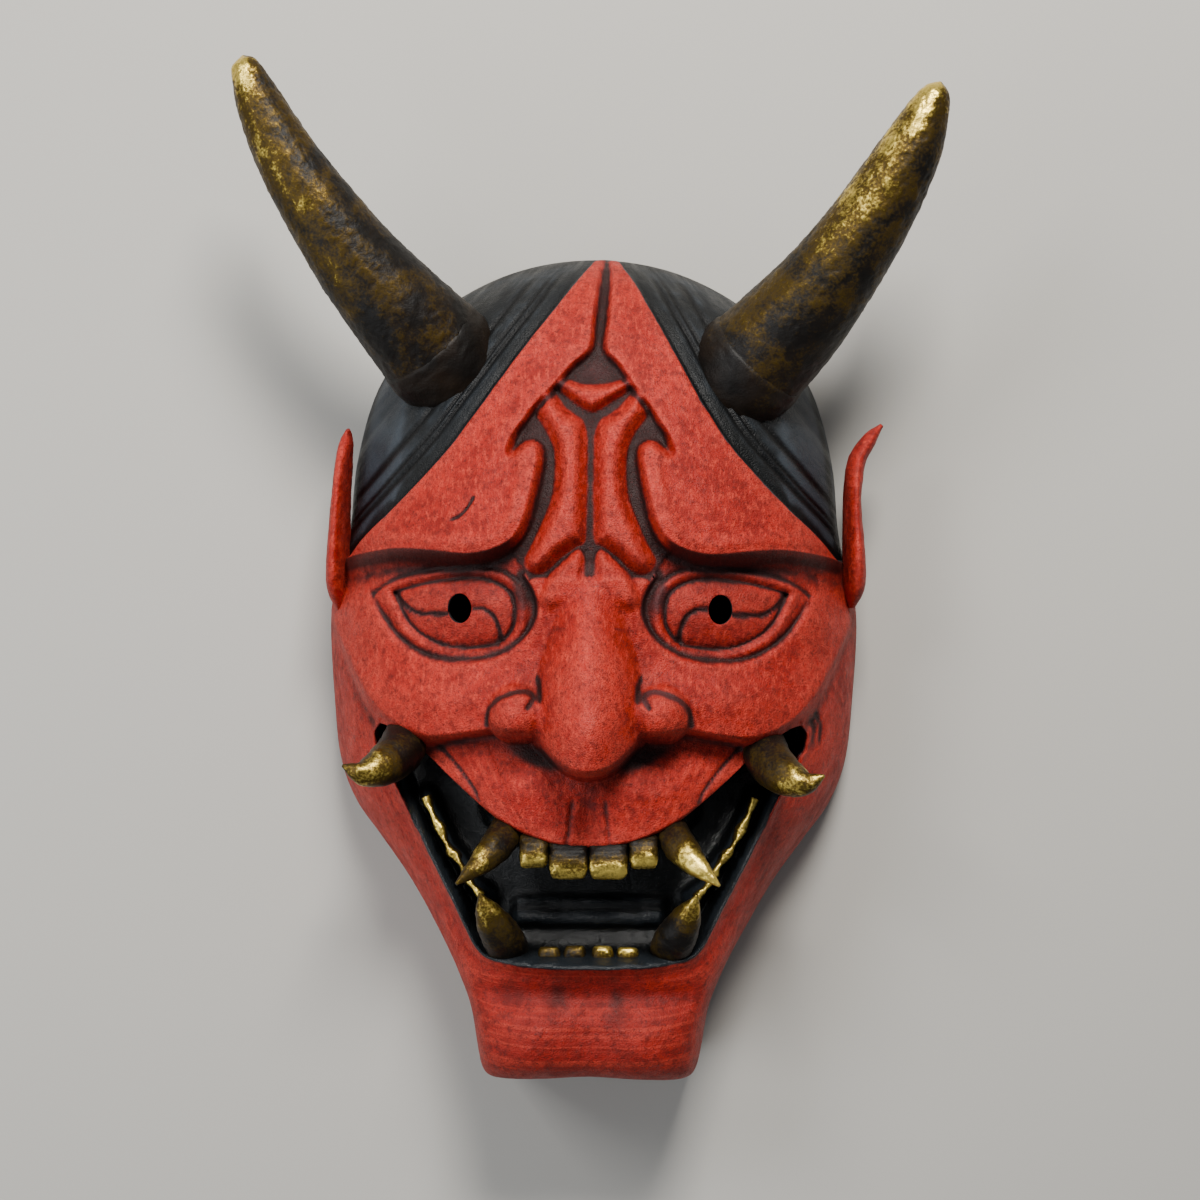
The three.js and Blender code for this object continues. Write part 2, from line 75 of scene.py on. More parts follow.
# %% Steps, ridges and caps
def smooth(low, high, value):
    """0 below low, 1 above high, and between them the cubic 3t^2 - 2t^3, which starts and ends level."""
    t = np.clip((value - low) / (high - low), 0.0, 1.0)
    return t * t * (3.0 - 2.0 * t)


def mix(a, b, share):
    """a where share is 0, b where it is 1."""
    return a + (b - a) * share


def hump(distance, width):
    """The bell exp(-(distance / width)^2), 1 on the line itself."""
    return np.exp(-((distance / width) ** 2))


def spot(dx, dy):
    """The round bell exp(-(dx^2 + dy^2)), 1 in the middle."""
    return np.exp(-(dx**2 + dy**2))


def cap(dx, dy):
    """Height of a unit ball over its middle plane, sqrt(1 - dx^2 - dy^2), and 0 outside it."""
    return np.sqrt(np.clip(1.0 - dx * dx - dy * dy, 0.0, 1.0))


# %% Drawn lines and the distance to them
def with_ends(points):
    """The points, with one more added straight on at each end."""
    p = np.array(points, float)
    return np.vstack([2 * p[0] - p[1], p, 2 * p[-1] - p[-2]])


def catmull_rom(a, b, c, d, t):
    """The cubic from b to c as t goes from 0 to 1. Its slope at each is half the step between neighbours."""
    return 0.5 * (2 * b + (c - a) * t + (2 * a - 5 * b + 4 * c - d) * t**2 + (3 * b - a - 3 * c + d) * t**3)


def curve(points, steps=7):
    """A smooth line through the points, with a few short straight steps to each span."""
    p = with_ends(points)
    t = np.linspace(0, 1, steps, endpoint=False)[:, None]
    spans = [catmull_rom(*ends, t) for ends in zip(p[:-3], p[1:-2], p[2:-1], p[3:])]
    return np.vstack(spans + [p[-2:-1]])


def near_line(x, y, line, reach):
    """True for the points within reach of a line's bounding box."""
    low, high = line.min(0) - reach, line.max(0) + reach
    return (x > low[0]) & (x < high[0]) & (y > low[1]) & (y < high[1])


def nearest(x, y, line, reach=14.0):
    """Distance to a line of short straight spans, never more than reach, and the nearest place on it.

    On each span the perpendicular's foot is clamped between the span's ends, and the least distance wins.
    """
    distance = np.full(x.shape, float(reach))
    foot_x, foot_y = x.copy(), y.copy()
    close = near_line(x, y, line, reach)
    px, py = x[close], y[close]
    best, best_x, best_y = distance[close], px.copy(), py.copy()
    for (ax, ay), (bx, by) in zip(line[:-1], line[1:]):
        length2 = (bx - ax) ** 2 + (by - ay) ** 2 or 1.0
        share = np.clip(((px - ax) * (bx - ax) + (py - ay) * (by - ay)) / length2, 0, 1)
        qx, qy = ax + share * (bx - ax), ay + share * (by - ay)
        d = np.hypot(px - qx, py - qy)
        nearer = d < best
        best, best_x, best_y = np.where(nearer, [d, qx, qy], [best, best_x, best_y])
    distance[close], foot_x[close], foot_y[close] = best, best_x, best_y
    return distance, foot_x, foot_y


def inside(x, y, loop):
    """True inside a closed outline: a ray to the right crosses it an odd number of times."""
    hit = np.zeros(x.shape, bool)
    close = near_line(x, y, loop, 1.0)
    px, py = x[close], y[close]
    odd = hit[close]
    for (ax, ay), (bx, by) in zip(loop, np.roll(loop, -1, 0)):
        if ay != by:
            odd ^= ((ay > py) != (by > py)) & (px < (bx - ax) * (py - ay) / (by - ay) + ax)
    hit[close] = odd
    return hit


def signed(x, y, line, closing=(), reach=14.0):
    """Distance to a line, positive inside the outline that it makes with its closing points."""
    loop = np.vstack([line, np.array(closing, float).reshape(-1, 2)])
    return np.where(inside(x, y, loop), 1.0, -1.0) * nearest(x, y, line, reach)[0]


# %% [markdown]
# ## Noise with a fixed seed
# A hand-carved and brushed surface is never quite even. Value noise gives it soft waves: a random number
# sits on each corner of a cubic lattice, and a point takes the smooth mean of its cell's eight corners. The
# numbers come from mixing the bits of the corner's place, so every run gives the same surface.

# %% Value noise on a lattice
def corner_value(ix, iy, iz, seed):
    """A fixed number between -1 and 1 for a lattice corner, by multiplying and folding its place."""
    mixed = ix * 374761393 + iy * 668265263 + iz * 2147483647 + seed * 974634777
    mixed = (mixed ^ (mixed >> 13)) * 1274126177
    return ((mixed ^ (mixed >> 16)) & 0xFFFF) / 32767.5 - 1.0


def noise(points, size, seed):
    """Smooth noise between -1 and 1 whose waves are about size across, at the points' places."""
    place = points / size
    cell = np.floor(place).astype(np.int64)
    part = place - cell
    part = part * part * (3 - 2 * part)
    total = 0.0
    for corner in np.ndindex(2, 2, 2):
        weight = np.prod([part[..., k] if corner[k] else 1 - part[..., k] for k in range(3)], axis=0)
        total = total + weight * corner_value(*(cell[..., k] + corner[k] for k in range(3)), seed)
    return total


def rough(points, size, seed, octaves=3):
    """Noise added to itself at half the size and half the strength, a few times over."""
    return sum(noise(points, size / 2**k, seed + k) / 2**k for k in range(octaves))


# %% [markdown]
# ## The drawn lines
# These are the lines that a carver would pencil on the blank, for the right half of the face: x is the
# distance from the middle. The rim's outline is drawn in three runs. A few points and a smooth curve
# through them are enough.

# %% Outline of the rim
SIDE = curve([
    (33, CHIN_Y + 2.5), (34.6, -134), (37, -123), (42, -113), (49, -102), (57, -89), (65.5, -77.5),
    (73.8, -66), (78.6, -53), (80.6, -35), (FACE_HALF_WIDTH, -10), (79, 4), (76, 17), (74, 38), (68, 60),
    (57, 76.5),
], 8)
CROWN = curve([(-57, 76.5), (-42, 89.5), (-22, 98.5), (0, CROWN_Y), (22, 98.5), (42, 89.5), (57, 76.5)])
CHIN = curve([
    (-33, CHIN_Y + 2.5), (-28, CHIN_Y), (-15, CHIN_Y), (0, CHIN_Y + 0.7), (15, CHIN_Y), (28, CHIN_Y),
    (33, CHIN_Y + 2.5),
])
TO_FRAME = np.array([SHELL_LOW[0] / MM + SIDE[:, 0].max(), SHELL_HIGH[1] / MM - CROWN_Y, 0.0])
print("carving to frame, mm:", TO_FRAME.round(3))


def lean(y):
    """How far the middle line has moved to the right at y: it leans that way towards the crown."""
    return CROWN_LEAN * smooth(40, 98, y)


# %% Lines of the forehead and the brow
HAIRLINE = curve([
    (0, 100), (3, 99), (5, 95), (9, 88), (14.2, 79), (22, 66.5), (31, 52), (41, 38), (55, 23.5), (65, 15),
    (72.5, 8),
])
BROW_EDGE = curve([
    (72.5, 8), (68, 9), (56, 10.5), (45, 10), (35, 9), (28, 10), (22.5, 12.8), (19.3, 18), (17, 27),
    (15.5, 35.5),
])
BROW_HOOK = curve([
    (15.5, 35.5), (15.8, 38.4), (17.2, 39), (19, 37.4), (21.2, 35.5), (23.4, 35.6), (24.5, 38), (23, 42),
    (19.5, 47), (17, 51), (11.5, 57.5), (7, 63.5), (2.9, 68), (2.8, 76), (2.7, 84), (2.4, 92), (1.6, 99),
])
MUSCLE = curve([
    (15.4, 52), (16.2, 49), (13.6, 45), (11.4, 41), (10.2, 36), (10.2, 29), (11.2, 23.5), (14, 16.5),
    (17, 10), (18.2, 7), (17.2, 4.3), (14.5, 3.2), (11, 4.8), (8, 7.8), (4, 10.8), (1.4, 12.5), (1.0, 20),
    (0.9, 35), (1.2, 43), (2.6, 46.8), (5, 48.4), (8, 51), (10.5, 54.6), (11.8, 57),
])
CREST = curve([(0, 57), (4, 57.4), (9, 59.2), (11.4, 58.6), (11, 56.4), (6.5, 53), (3, 50.6), (0, 49)])
NOSE_ROOT = curve([(0.7, 2.5), (0.9, 8), (2.4, 10.6), (4.4, 10.2), (8, 7), (12, 3), (14.6, -3), (14.4, -9)])
BROW_CREASE = curve([(-38.5, 18.3), (-36.4, 19.3), (-34.2, 21.6), (-32.6, 24.4)])

# %% Lines of the eye and the cheek
EYE = curve([
    (56.5, -2), (48, 0.3), (38, 1.8), (31, 2), (25.5, 0.4), (22, -2.5), (21, -7), (21.6, -12), (25, -16),
    (31, -17.6), (39.5, -17.6), (46.5, -15), (52, -10.5), (56.5, -2),
])
EYE_MIDDLE = curve([
    (55.5, -2.6), (53, -5.5), (49.5, -7.8), (46.5, -8.2), (40, -8), (37, -7), (31, -6.5), (27.5, -8.3),
    (25.6, -12), (25, -16),
])
EYE_RING = curve([
    (66, 0), (63.5, -3), (59.5, -9), (55, -14.5), (48, -19.2), (40, -21), (29.5, -20.3), (22.5, -17.5),
    (17.5, -13), (15.2, -7.5), (16, -2.5), (19, 3),
])
LID_FOLD = curve([(63, -2.5), (59, 0.2), (52.5, 2.6), (42.5, 4.6), (32.5, 5), (25, 4), (20, 1)])
CHEEK_EDGE = curve([
    (22, -39), (31, -40.5), (40, -42), (48, -42), (56, -38.9), (63.3, -33), (70.5, -23), (77, -12.5), (84, 0),
])

# %% Lines of the nose and the mouth
NOSE_UNDER = curve([
    (0, -54), (4, -53.4), (8, -51.3), (11.5, -48), (14.5, -45), (19, -43.8), (26, -43.2), (30, -41),
])
CURL_OUTER = curve([(18.2, -24.5), (15.6, -25), (14.1, -26.9), (13.6, -29.6), (13.5, -32)])
WING_LINE = curve([
    (16.7, -33.8), (15.3, -31.4), (16.4, -29.9), (18.6, -29.4), (22, -30.2), (25.6, -32.1), (27.9, -34.8),
    (28.6, -39),
])
NOSE_CREASE = curve([(0, -11.6), (6, -11.8), (11, -13), (16, -15.4), (21, -17.6)])
LIP_EDGE = curve([
    (61, -40), (56, -41.8), (47, -48.3), (39.5, -55.2), (32.5, -61.2), (25.5, -66.5), (18, -70.4), (9, -73.2),
    (0, -74),
], 5)
LIP_STRIP = curve([(44, -45), (40, -49), (35.6, -54), (32.4, -58.4), (31.2, -61.4)])
PHILTRUM = curve([(4.6, -60), (5.2, -66), (6.0, -72.5)])
JAW_EDGE = curve([
    (61, -40), (62.8, -43), (62, -48), (58, -55), (54.5, -61.5), (46.5, -78), (39, -92), (35.4, -99),
    (32, -104), (27.5, -106.6), (14.5, -108.2), (0, -108.4),
], 5)
MOLAR_LINE = curve([(48, -62), (44.5, -69.5), (41, -76), (37.2, -81), (34.5, -86), (30, -90.5)])
MOUTH_LOOP = np.vstack([LIP_EDGE, JAW_EDGE[::-1][:-1]])
print("the mouth's outline holds", len(MOUTH_LOOP), "points")

# %% [markdown]
# ## The blank
# Before carving, the mask is a plain dome over the rim's outline. Two parameters cover it: s runs from the
# left side to the right, t from the chin to the crown. A Coons patch stretches a flat sheet between the
# four edge runs, and a superellipse, 1 - |s|^n under a root, rounds the sheet down to the rim.

# %% Plan and dome
def point_along(line, share):
    """The place at a share of a line's points, by straight mixing between neighbours."""
    at = np.linspace(0, 1, len(line))
    return np.stack([np.interp(share, at, line[:, k]) for k in range(line.shape[1])], -1)


def plan(s, t):
    """Coons patch: the mix of left and right edges, plus that of low and high ones, less the corners' mix."""
    a, b = (s + 1) / 2, (t + 1) / 2
    right, low, high = point_along(SIDE, b), point_along(CHIN, a), point_along(CROWN, a)
    x = s * right[..., 0] + mix(low[..., 0], high[..., 0], b) - s * mix(CHIN[-1, 0], CROWN[-1, 0], b)
    y = right[..., 1] + mix(low[..., 1], high[..., 1], b) - mix(CHIN[-1, 1], CROWN[-1, 1], b)
    return x, y


def fullness(s, t, y):
    """1 in the middle and 0 on the rim: the product of two superellipses, squarer across the chin."""
    square = mix(2.1, 4.5, smooth(-95, -125, y))
    across = np.sqrt(np.clip(1 - np.abs(s) ** square, 0, 1))
    return across * np.sqrt(np.clip(1 - np.abs(t) ** np.where(t > 0, 4, 26), 0, 1))


def crest(y):
    """Height of the dome along the middle of the face, from the chin's 66 mm to the brow's 76 mm."""
    return 66 + 10 * smooth(-105, 20, y) + 2.5 * hump(y + 95, 14)


# %% [markdown]
# ## Carving the face
# Each region of the face has its own rule for height over the dome. The regions are laid over one another
# like sheets of clay: cheek over jaw, brow over eye, nose over all. The painter's dark wash ran into each
# cut as it was made, so every layer is two numbers at each point, a height and a share of wash, stacked in
# one array.

# %% Layers of clay and wash
def layer(height, wash=0.0):
    """A height over the dome and the share of wash on it, stacked."""
    return np.stack(np.broadcast_arrays(height, wash)).astype(float)


def groove(ground, distance, depth, width, stain=1.0):
    """A cut: depth * bell(distance) off the height, and stain * a slightly wider bell on the wash."""
    return ground + layer(-depth * hump(distance, width), stain * hump(distance, 1.3 * width))


def cut_along(ground, u, y, line, depth, width, stain=1.0):
    """A groove along a drawn line."""
    return groove(ground, nearest(u, y, line)[0], depth, width, stain)


def step_up(low, high, distance, reach, stain=0.6):
    """Lay high over low where distance is positive, by a slope reach wide, with wash at its foot alone."""
    share = layer(smooth(-reach, 0.2, distance), smooth(-reach, -0.6 * reach, distance))
    return mix(low, high, share) + layer(0.0, stain * hump(distance + reach, 0.6 + 0.14 * reach))


# %% Hair cap and forehead
BROW_PROUD = 6.5
BROW_TOP_PROUD = 2.8
MUSCLE_PROUD = 5.0
CREST_PROUD = 4.6
CHANNEL_DEPTH = 1.9
SOCKET_DEPTH = 4.5
EYEBALL_PROUD = 5.6
CHEEK_PROUD = 4.5
LIP_DEPTH = 2.5
JAW_RIM_PROUD = 2.1
CHIN_PROUD = 3.0
NOSE_PROUD = 25.0
WING_PROUD = 14.5


def hair_relief(y, to_hair):
    """Strands that run beside the hairline: four cuts at growing distances from it."""
    hair = layer(0.0 * y)
    below_crown = smooth(94, 84, y)
    for place, depth, width in ((1.3, 0.4, 0.4), (5.8, 1.1, 0.7), (7.8, 0.8, 0.5), (12.4, 0.9, 0.8)):
        hair = groove(hair, to_hair - place, depth * below_crown, width, below_crown)
    return hair


def forehead_middle(u, y):
    """Floor of the channel, with two long muscles and a crest over them. The floor is all wash."""
    muscle = signed(u, y, MUSCLE)
    crest_in = signed(u, y, CREST)
    muscles = MUSCLE_PROUD * smooth(-0.3, 4.2, muscle) ** 0.8
    raised = np.maximum(muscles, CREST_PROUD * smooth(-0.3, 2.6, crest_in) ** 0.8)
    floor = 1 - smooth(-0.7, 0.5, np.maximum(muscle, crest_in))
    stain = floor * (0.88 - 0.4 * smooth(64, 70, y))
    return layer(-CHANNEL_DEPTH + raised + 0.7 * smooth(60, 90, y), stain)


def eye_relief(u, y):
    """An almond of eyeball inside a lid's rounded rim, set back in the socket, with a groove across it."""
    eye = signed(u, y, EYE)
    to_middle = nearest(u, y, EYE_MIDDLE)[0]
    socket = -SOCKET_DEPTH + 2.5 * smooth(34, 62, u)
    ball = EYEBALL_PROUD * cap((u - 38) / 22, (y + 7.5) / 13)
    lid = socket + 1.8 + 1.5 * hump(eye + 2.2, 1.3)
    upper = inside(u, y, np.vstack([EYE_MIDDLE, [(20, -16), (20, 9), (60, 9)]]))
    eyeball = socket - 1.7 + ball + 0.6 * upper * smooth(0, 1.0, to_middle)
    found = layer(mix(lid, eyeball, smooth(-0.4, 0.4, eye)))
    found = groove(found, eye - 0.2, 0.9, 0.45, 0.9)
    found = groove(found, to_middle, 0.8 * (eye > -0.3), 0.6, 1.0 * (eye > -0.3))
    return found + layer(0.0, 0.85 * spot((u - 18.8) / 3.4, (y + 2) / 9))


def cheek_relief(u, y):
    """The cheek plate, which rises to its lower edge, with the eye sunk into it inside a ring groove."""
    plate = 1 + (CHEEK_PROUD - 1) * smooth(-16, -36, y) + 2 * smooth(62, 40, u) * smooth(-22, -34, y)
    plate = plate + 1.8 * smooth(54, 68, u) * smooth(-2, -12, y)
    ring = signed(u, y, EYE_RING, [(14, 8), (14, 14), (66, 14)])
    held = smooth(67, 58, u)
    found = mix(layer(plate), eye_relief(u, y), smooth(-1.2, 1.4, ring))
    found = cut_along(found, u, y, EYE_RING, 1.7 * held, 0.8, 0.85 * held)
    return cut_along(found, u, y, LID_FOLD, 1.2, 0.6, 0.75)


def jaw_relief(x, u, y):
    """Jaw band, chin and upper lip, which swells in the middle, and two wrinkles beside its right corner."""
    lip = signed(u, y, LIP_EDGE, [(0, -20), (61, -20)])
    low = smooth(-58, -62, y)
    swell = 6 * smooth(48, 18, u) * smooth(-42, -60, y)
    hollow = 1.0 * hump(u, 3.4) * low
    stain = 0.35 * hump(u, 4.0) * smooth(-54, -58, y) * smooth(-66, -60, y)
    upper_lip = layer(-LIP_DEPTH + swell - hollow, stain)
    upper_lip = cut_along(upper_lip, u, y, LIP_STRIP, 0.9, 0.55, 0.8)
    upper_lip = cut_along(upper_lip, u, y, PHILTRUM, 0.7 * low, 0.7, 0.5 * low)
    rim = JAW_RIM_PROUD * hump(nearest(u, y, JAW_EDGE)[0], 1.7)
    chin = CHIN_PROUD * spot((u - 15.5) / 12, (y + 130) / 10)
    band = groove(layer(-1 + rim + chin), y + 117, 2.8 * smooth(38, 26, u), 4.4, 0.15 * smooth(36, 26, u))
    corner = np.hypot(u - 58.5, y + 42.5)
    wrinkled = smooth(58, 62, u) * (x > 0) * smooth(-50, -44, y)
    for radius in (6.8, 9.0):
        band = groove(band, corner - radius, 0.8 * wrinkled, 0.6, 0.85 * wrinkled)
    return mix(band, upper_lip, smooth(-1, 1, lip))


def nose_relief(u, y):
    """A ridge that climbs to the ball at its foot, joined with the two wings and cut off along its underside.

    Along the nose the height grows as the sine of the way down, to the power 1.5, and levels out at the ball.
    Across the nose the ridge is 1 - (u / width)^2, raised to a power that falls from 1.3 at the root, where
    the sides are hollow, to 0.72 at the ball, where they are full. Ridge and wing join as (a^4 + b^4)^(1/4).
    """
    under = np.interp(u, NOSE_UNDER[:, 0], NOSE_UNDER[:, 1])
    run = np.sin(0.5 * np.pi * np.clip((6 - y) / 54, 0, 1)) ** 1.5
    width = 8.5 + 7.6 * smooth(4, -34, y)
    across = np.clip(1 - (u / width) ** 2, 0, 1) ** mix(1.3, 0.72, smooth(-2, -36, y))
    ridge = NOSE_PROUD * (0.08 + 0.92 * run) * across * smooth(11, 3, y)
    ridge = ridge + 1.6 * spot(u / 9, (y + 40) / 8)
    wings = WING_PROUD * cap((u - 20.2) / 8.9, (y + 36.4) / 8.8) ** 0.7
    fall = smooth(under - 2.3, under + 4, y)
    nose = layer((ridge**4 + wings**4) ** 0.25 * fall)
    nose = cut_along(nose, u, y, CURL_OUTER, 0.9, 0.6)
    nose = cut_along(nose, u, y, WING_LINE, 1.1, 0.65)
    nose = cut_along(nose, u, y, NOSE_CREASE, 0.2, 0.4, 0.35)
    # Below the nose's underside a painted shade is laid into the wash, where the nose hangs over the lip.
    return nose + layer(0.0, spot((u - 14.5) / 7, (y + 48.6 - 0.3 * (u - 15)) / 2.6))


# %% The mouth's recess
MOUTH_FLOOR = 50
GUM_PROUD = 16
LINING_PROUD = 13
SIDE_GUM_PROUD = 7.5


def mouth_floor(u, y):
    """A bowl that falls to the sides and climbs to the lower lip, crossed by two ledges."""
    bowl = MOUTH_FLOOR * cap(u / 80, 0) + 7 * smooth(-96, -112, y) - 4 * smooth(-60, -45, y)
    ledges = 2.2 * smooth(-89.5, -91, y) + 2.0 * smooth(-93.6, -95, y) - 3.0 * smooth(-96.5, -100, y)
    return bowl + ledges * smooth(24, 20, u)


def in_mouth(u, y):
    """Distance to the mouth's edge, positive inside the mouth."""
    to_edge = np.minimum(nearest(u, y, LIP_EDGE)[0], nearest(u, y, JAW_EDGE)[0])
    return np.where(inside(u, y, MOUTH_LOOP), to_edge, -to_edge)


def mouth_height(u, y):
    """The recess: its floor, the gums over and beside it, and a lining that leans in from the jaw."""
    to_lip = nearest(u, y, LIP_EDGE)[0]
    to_jaw = nearest(u, y, JAW_EDGE)[0]
    gum = GUM_PROUD * smooth(6.5, 2.0, to_lip) * smooth(34, 24, u)
    lining = LINING_PROUD * smooth(4.6, 0.6, to_jaw) * smooth(-48, -62, y)
    side_gum = SIDE_GUM_PROUD * hump(nearest(u, y, MOLAR_LINE)[0], 2.6)
    return mouth_floor(u, y) + np.maximum(np.maximum(gum, lining), side_gum)


# %% [markdown]
# ## Laying the regions over one another
# The order matters more than the exact numbers. The jaw is lowest, the cheek plate drops onto it, the
# channel of the forehead lies between the two brow plates, and the brow overhangs the eyes by a tall dark
# step.

# %% All relief over the dome
FAR = 60
HELD = 3
MIDDLE_ZONE = np.vstack([BROW_EDGE[BROW_EDGE[:, 0] < 24], BROW_HOOK])
PLATE = np.vstack([HAIRLINE, BROW_EDGE[1:], BROW_HOOK[1:]])


def relief(x, y):
    """Height over the dome, share of wash, and how far inside the hair each point lies, up to 3 mm."""
    u = np.abs(x - lean(y))
    to_hair, to_brow, to_hook = (nearest(u, y, line, FAR)[0] for line in (HAIRLINE, BROW_EDGE, BROW_HOOK))
    cheek = signed(u, y, CHEEK_EDGE, [(83, 40), (0, 40), (0, -39)])
    drop = 3.0 + 2.5 * smooth(38, 48, u) - 3.0 * smooth(60, 78, u)
    face = step_up(jaw_relief(x, u, y), cheek_relief(u, y), cheek, drop, 0.55 * smooth(78, 60, u))
    middle = signed(u, y, MIDDLE_ZONE, [(0, 99), (0, 2), (17, 2)])
    around = mix(face, forehead_middle(u, y), smooth(-2, 2, middle))
    plate = signed(u, y, PLATE, (), FAR)
    hair_side = (to_hair < np.minimum(to_brow, to_hook)) | ((u > 72.5) & (y > 8))
    under = np.where(hair_side, hair_relief(y, to_hair), around)
    brow_slope = 3.6 - 1.6 * smooth(38, 44, y) + 3.4 * smooth(13, 8, y) * smooth(20, 66, u)
    slope = np.where(hair_side, 0.8, brow_slope)
    brow = layer(mix(BROW_TOP_PROUD, BROW_PROUD, smooth(55, 14, y)) + 0.8 * hump(to_brow - 2.6, 2.0))
    brow = cut_along(brow, x, y, BROW_CREASE, 0.9, 0.5)
    stain = np.where(hair_side, 0.0, 0.9 - 0.45 * smooth(20, 50, u))
    forehead = step_up(under, brow, plate, slope, stain)
    root = signed(u, y, NOSE_ROOT, [(0, -9)])
    nose = nose_relief(u, y)
    nose[0] = np.maximum(nose[0], 3.6 * smooth(-0.6, 3.2, root) * smooth(-9, -3, y))
    nose = groove(nose, root, 0.4, 0.6, 0.9 * smooth(-6, 0, y))
    nose[1] = np.maximum(nose[1], 0.95 * smooth(1.1, 0.6, u) * smooth(1.5, 3.5, y))
    ground = layer(0.35 * smooth(-36, -14, y) * forehead[0])
    laid = mix(forehead, ground + nose, smooth(0, 1.2, nose[0]))
    laid[0] = np.maximum(forehead[0], laid[0])
    # Low on the nose its wash is kept, together with the painted shade under the nose.
    laid[1] = np.maximum(laid[1], nose[1] * smooth(-30, -40, y))
    hair = np.where(hair_side, np.clip(-plate, -HELD, HELD), -HELD)
    return laid[0], np.clip(laid[1], 0, 1), hair


# %% [markdown]
# ## The shell's mesh
# The mesh is a grid over s and t. Its lines are drawn together where the carving is sharp: a point at
# distance d from an edge moves to d * (1 - strength * bell(d)), so several rows crowd along each edge and
# cut it cleanly. The main edges pull with a strength of 0.6, and the fine lines of the eye with less, so
# that their own crowds keep apart.

# %% Grid lines crowd towards the carved edges
ACROSS = np.array([(0, 0), (0.5, 0.4), (0.8, 0.7), (0.94, 0.95), (1, 1)])
ALONG = np.array([
    (-1, -1), (-0.95, -0.992), (-0.87, -0.94), (-0.66, -0.72), (-0.4, -0.23), (0.56, 0.69), (0.79, 0.88),
    (0.93, 0.98), (1, 1),
])
FACE_COLUMNS = 240
FACE_ROWS = 380
INSIDE_STEP = 5
CROWDED = (
    (HAIRLINE, 0.6, 2.0), (BROW_EDGE, 0.6, 2.2), (BROW_HOOK, 0.6, 1.2), (MUSCLE, 0.6, 1.2),
    (CHEEK_EDGE, 0.6, 2.2), (EYE, 0.5, 1.2), (EYE_MIDDLE, 0.3, 1.2), (EYE_RING, 0.5, 1.4),
    (NOSE_UNDER, 0.6, 2.0), (WING_LINE, 0.6, 1.2), (LIP_EDGE, 0.6, 2.0), (JAW_EDGE, 0.6, 2.0),
)


def crowded(x, y, line, strength, width):
    """Move plan points towards a line, by a share that falls with distance as a bell."""
    across = x - lean(y)
    distance, foot_x, foot_y = nearest(np.abs(across), y, line)
    pull = strength * hump(distance, width)
    return x + np.sign(across) * (foot_x - np.abs(across)) * pull, y + (foot_y - y) * pull


def grid_lines(step=1):
    """s and t of a grid's points, one row for each t, with every step-th line of the outside's own."""
    a = np.linspace(-1, 1, FACE_COLUMNS + 1)[::step]
    s = np.sign(a) * np.interp(np.abs(a), ACROSS[:, 0], ACROSS[:, 1])
    t = np.interp(np.linspace(-1, 1, FACE_ROWS + 1)[::step], ALONG[:, 0], ALONG[:, 1])
    return np.meshgrid(s, t)


def face_grid():
    """Plan places, fullness and dome height of the outside."""
    s, t = grid_lines()
    x, y = plan(s, t)
    full = fullness(s, t, y)
    held = smooth(0.25, 0.45, full)
    dome = crest(y) * full
    for line, strength, width in CROWDED:
        x, y = crowded(x, y, line, strength * held, width)
    return x, y, full, dome


# %% Heights of the outside
x, y, full, dome = face_grid()
height, wash, hair = relief(x, y)
u = np.abs(x - lean(y))
mouth = in_mouth(u, y)
print("face grid", x.shape, "highest carving", height.max().round(1), "mm")

# %% [markdown]
# ## From arrays to a mesh
# A mesh wants its points in one flat list and its faces as runs of point numbers. Whole arrays go in with
# one call each, which is far quicker than a loop. Each piece also keeps some numbers on its points, such as
# how deep the wash lies, and its paint reads them later.

# %% Mesh helpers
def new_object(name, data):
    """An object at the origin that shows a mesh, a light or a camera."""
    made = bpy.data.objects.new(name, data)
    bpy.context.collection.objects.link(made)
    return made


def grid_faces(rows, columns, first=0, turned=False):
    """Four-sided faces of a grid of points, facing up for a grid whose rows run up and columns run right."""
    at = first + np.arange(rows * columns).reshape(rows, columns)
    faces = np.stack([at[:-1, :-1], at[:-1, 1:], at[1:, 1:], at[1:, :-1]], -1).reshape(-1, 4)
    return faces[:, ::-1] if turned else faces


def grid_triangles(z):
    """Two triangles for each cell of a grid, split along the diagonal whose ends differ least in height."""
    at = np.arange(z.size).reshape(z.shape)
    a, b, c, d = at[:-1, :-1], at[:-1, 1:], at[1:, 1:], at[1:, :-1]
    level = z.ravel()
    rising = (np.abs(level[a] - level[c]) < np.abs(level[b] - level[d]))[..., None]
    first = np.where(rising, np.stack([a, b, c], -1), np.stack([a, b, d], -1))
    second = np.where(rising, np.stack([a, c, d], -1), np.stack([b, c, d], -1))
    return np.concatenate([first.reshape(-1, 3), second.reshape(-1, 3)])


def new_piece(name, points, groups, materials, attributes, material_of=None):
    """An object from points in millimetres and groups of faces, one group for each count of corners."""
    mesh = bpy.data.meshes.new(name)
    mesh.vertices.add(len(points))
    mesh.vertices.foreach_set("co", ((points + TO_FRAME) * MM).ravel())
    sizes = np.concatenate([np.full(len(group), group.shape[1]) for group in groups])
    corners = np.concatenate([group.ravel() for group in groups])
    mesh.loops.add(len(corners))
    mesh.loops.foreach_set("vertex_index", corners)
    mesh.polygons.add(len(sizes))
    mesh.polygons.foreach_set("loop_start", np.concatenate([[0], np.cumsum(sizes)[:-1]]))
    if material_of is not None:
        mesh.polygons.foreach_set("material_index", material_of)
    mesh.update(calc_edges=True)
    mesh.shade_smooth()
    for key, values in attributes.items():
        kind, field = ("FLOAT_VECTOR", "vector") if key == "brush" else ("FLOAT", "value")
        mesh.attributes.new(key, kind, "POINT").data.foreach_set(field, np.ravel(values).astype(np.float32))
    for material in materials:
        mesh.materials.append(material)
    return new_object(name, mesh)


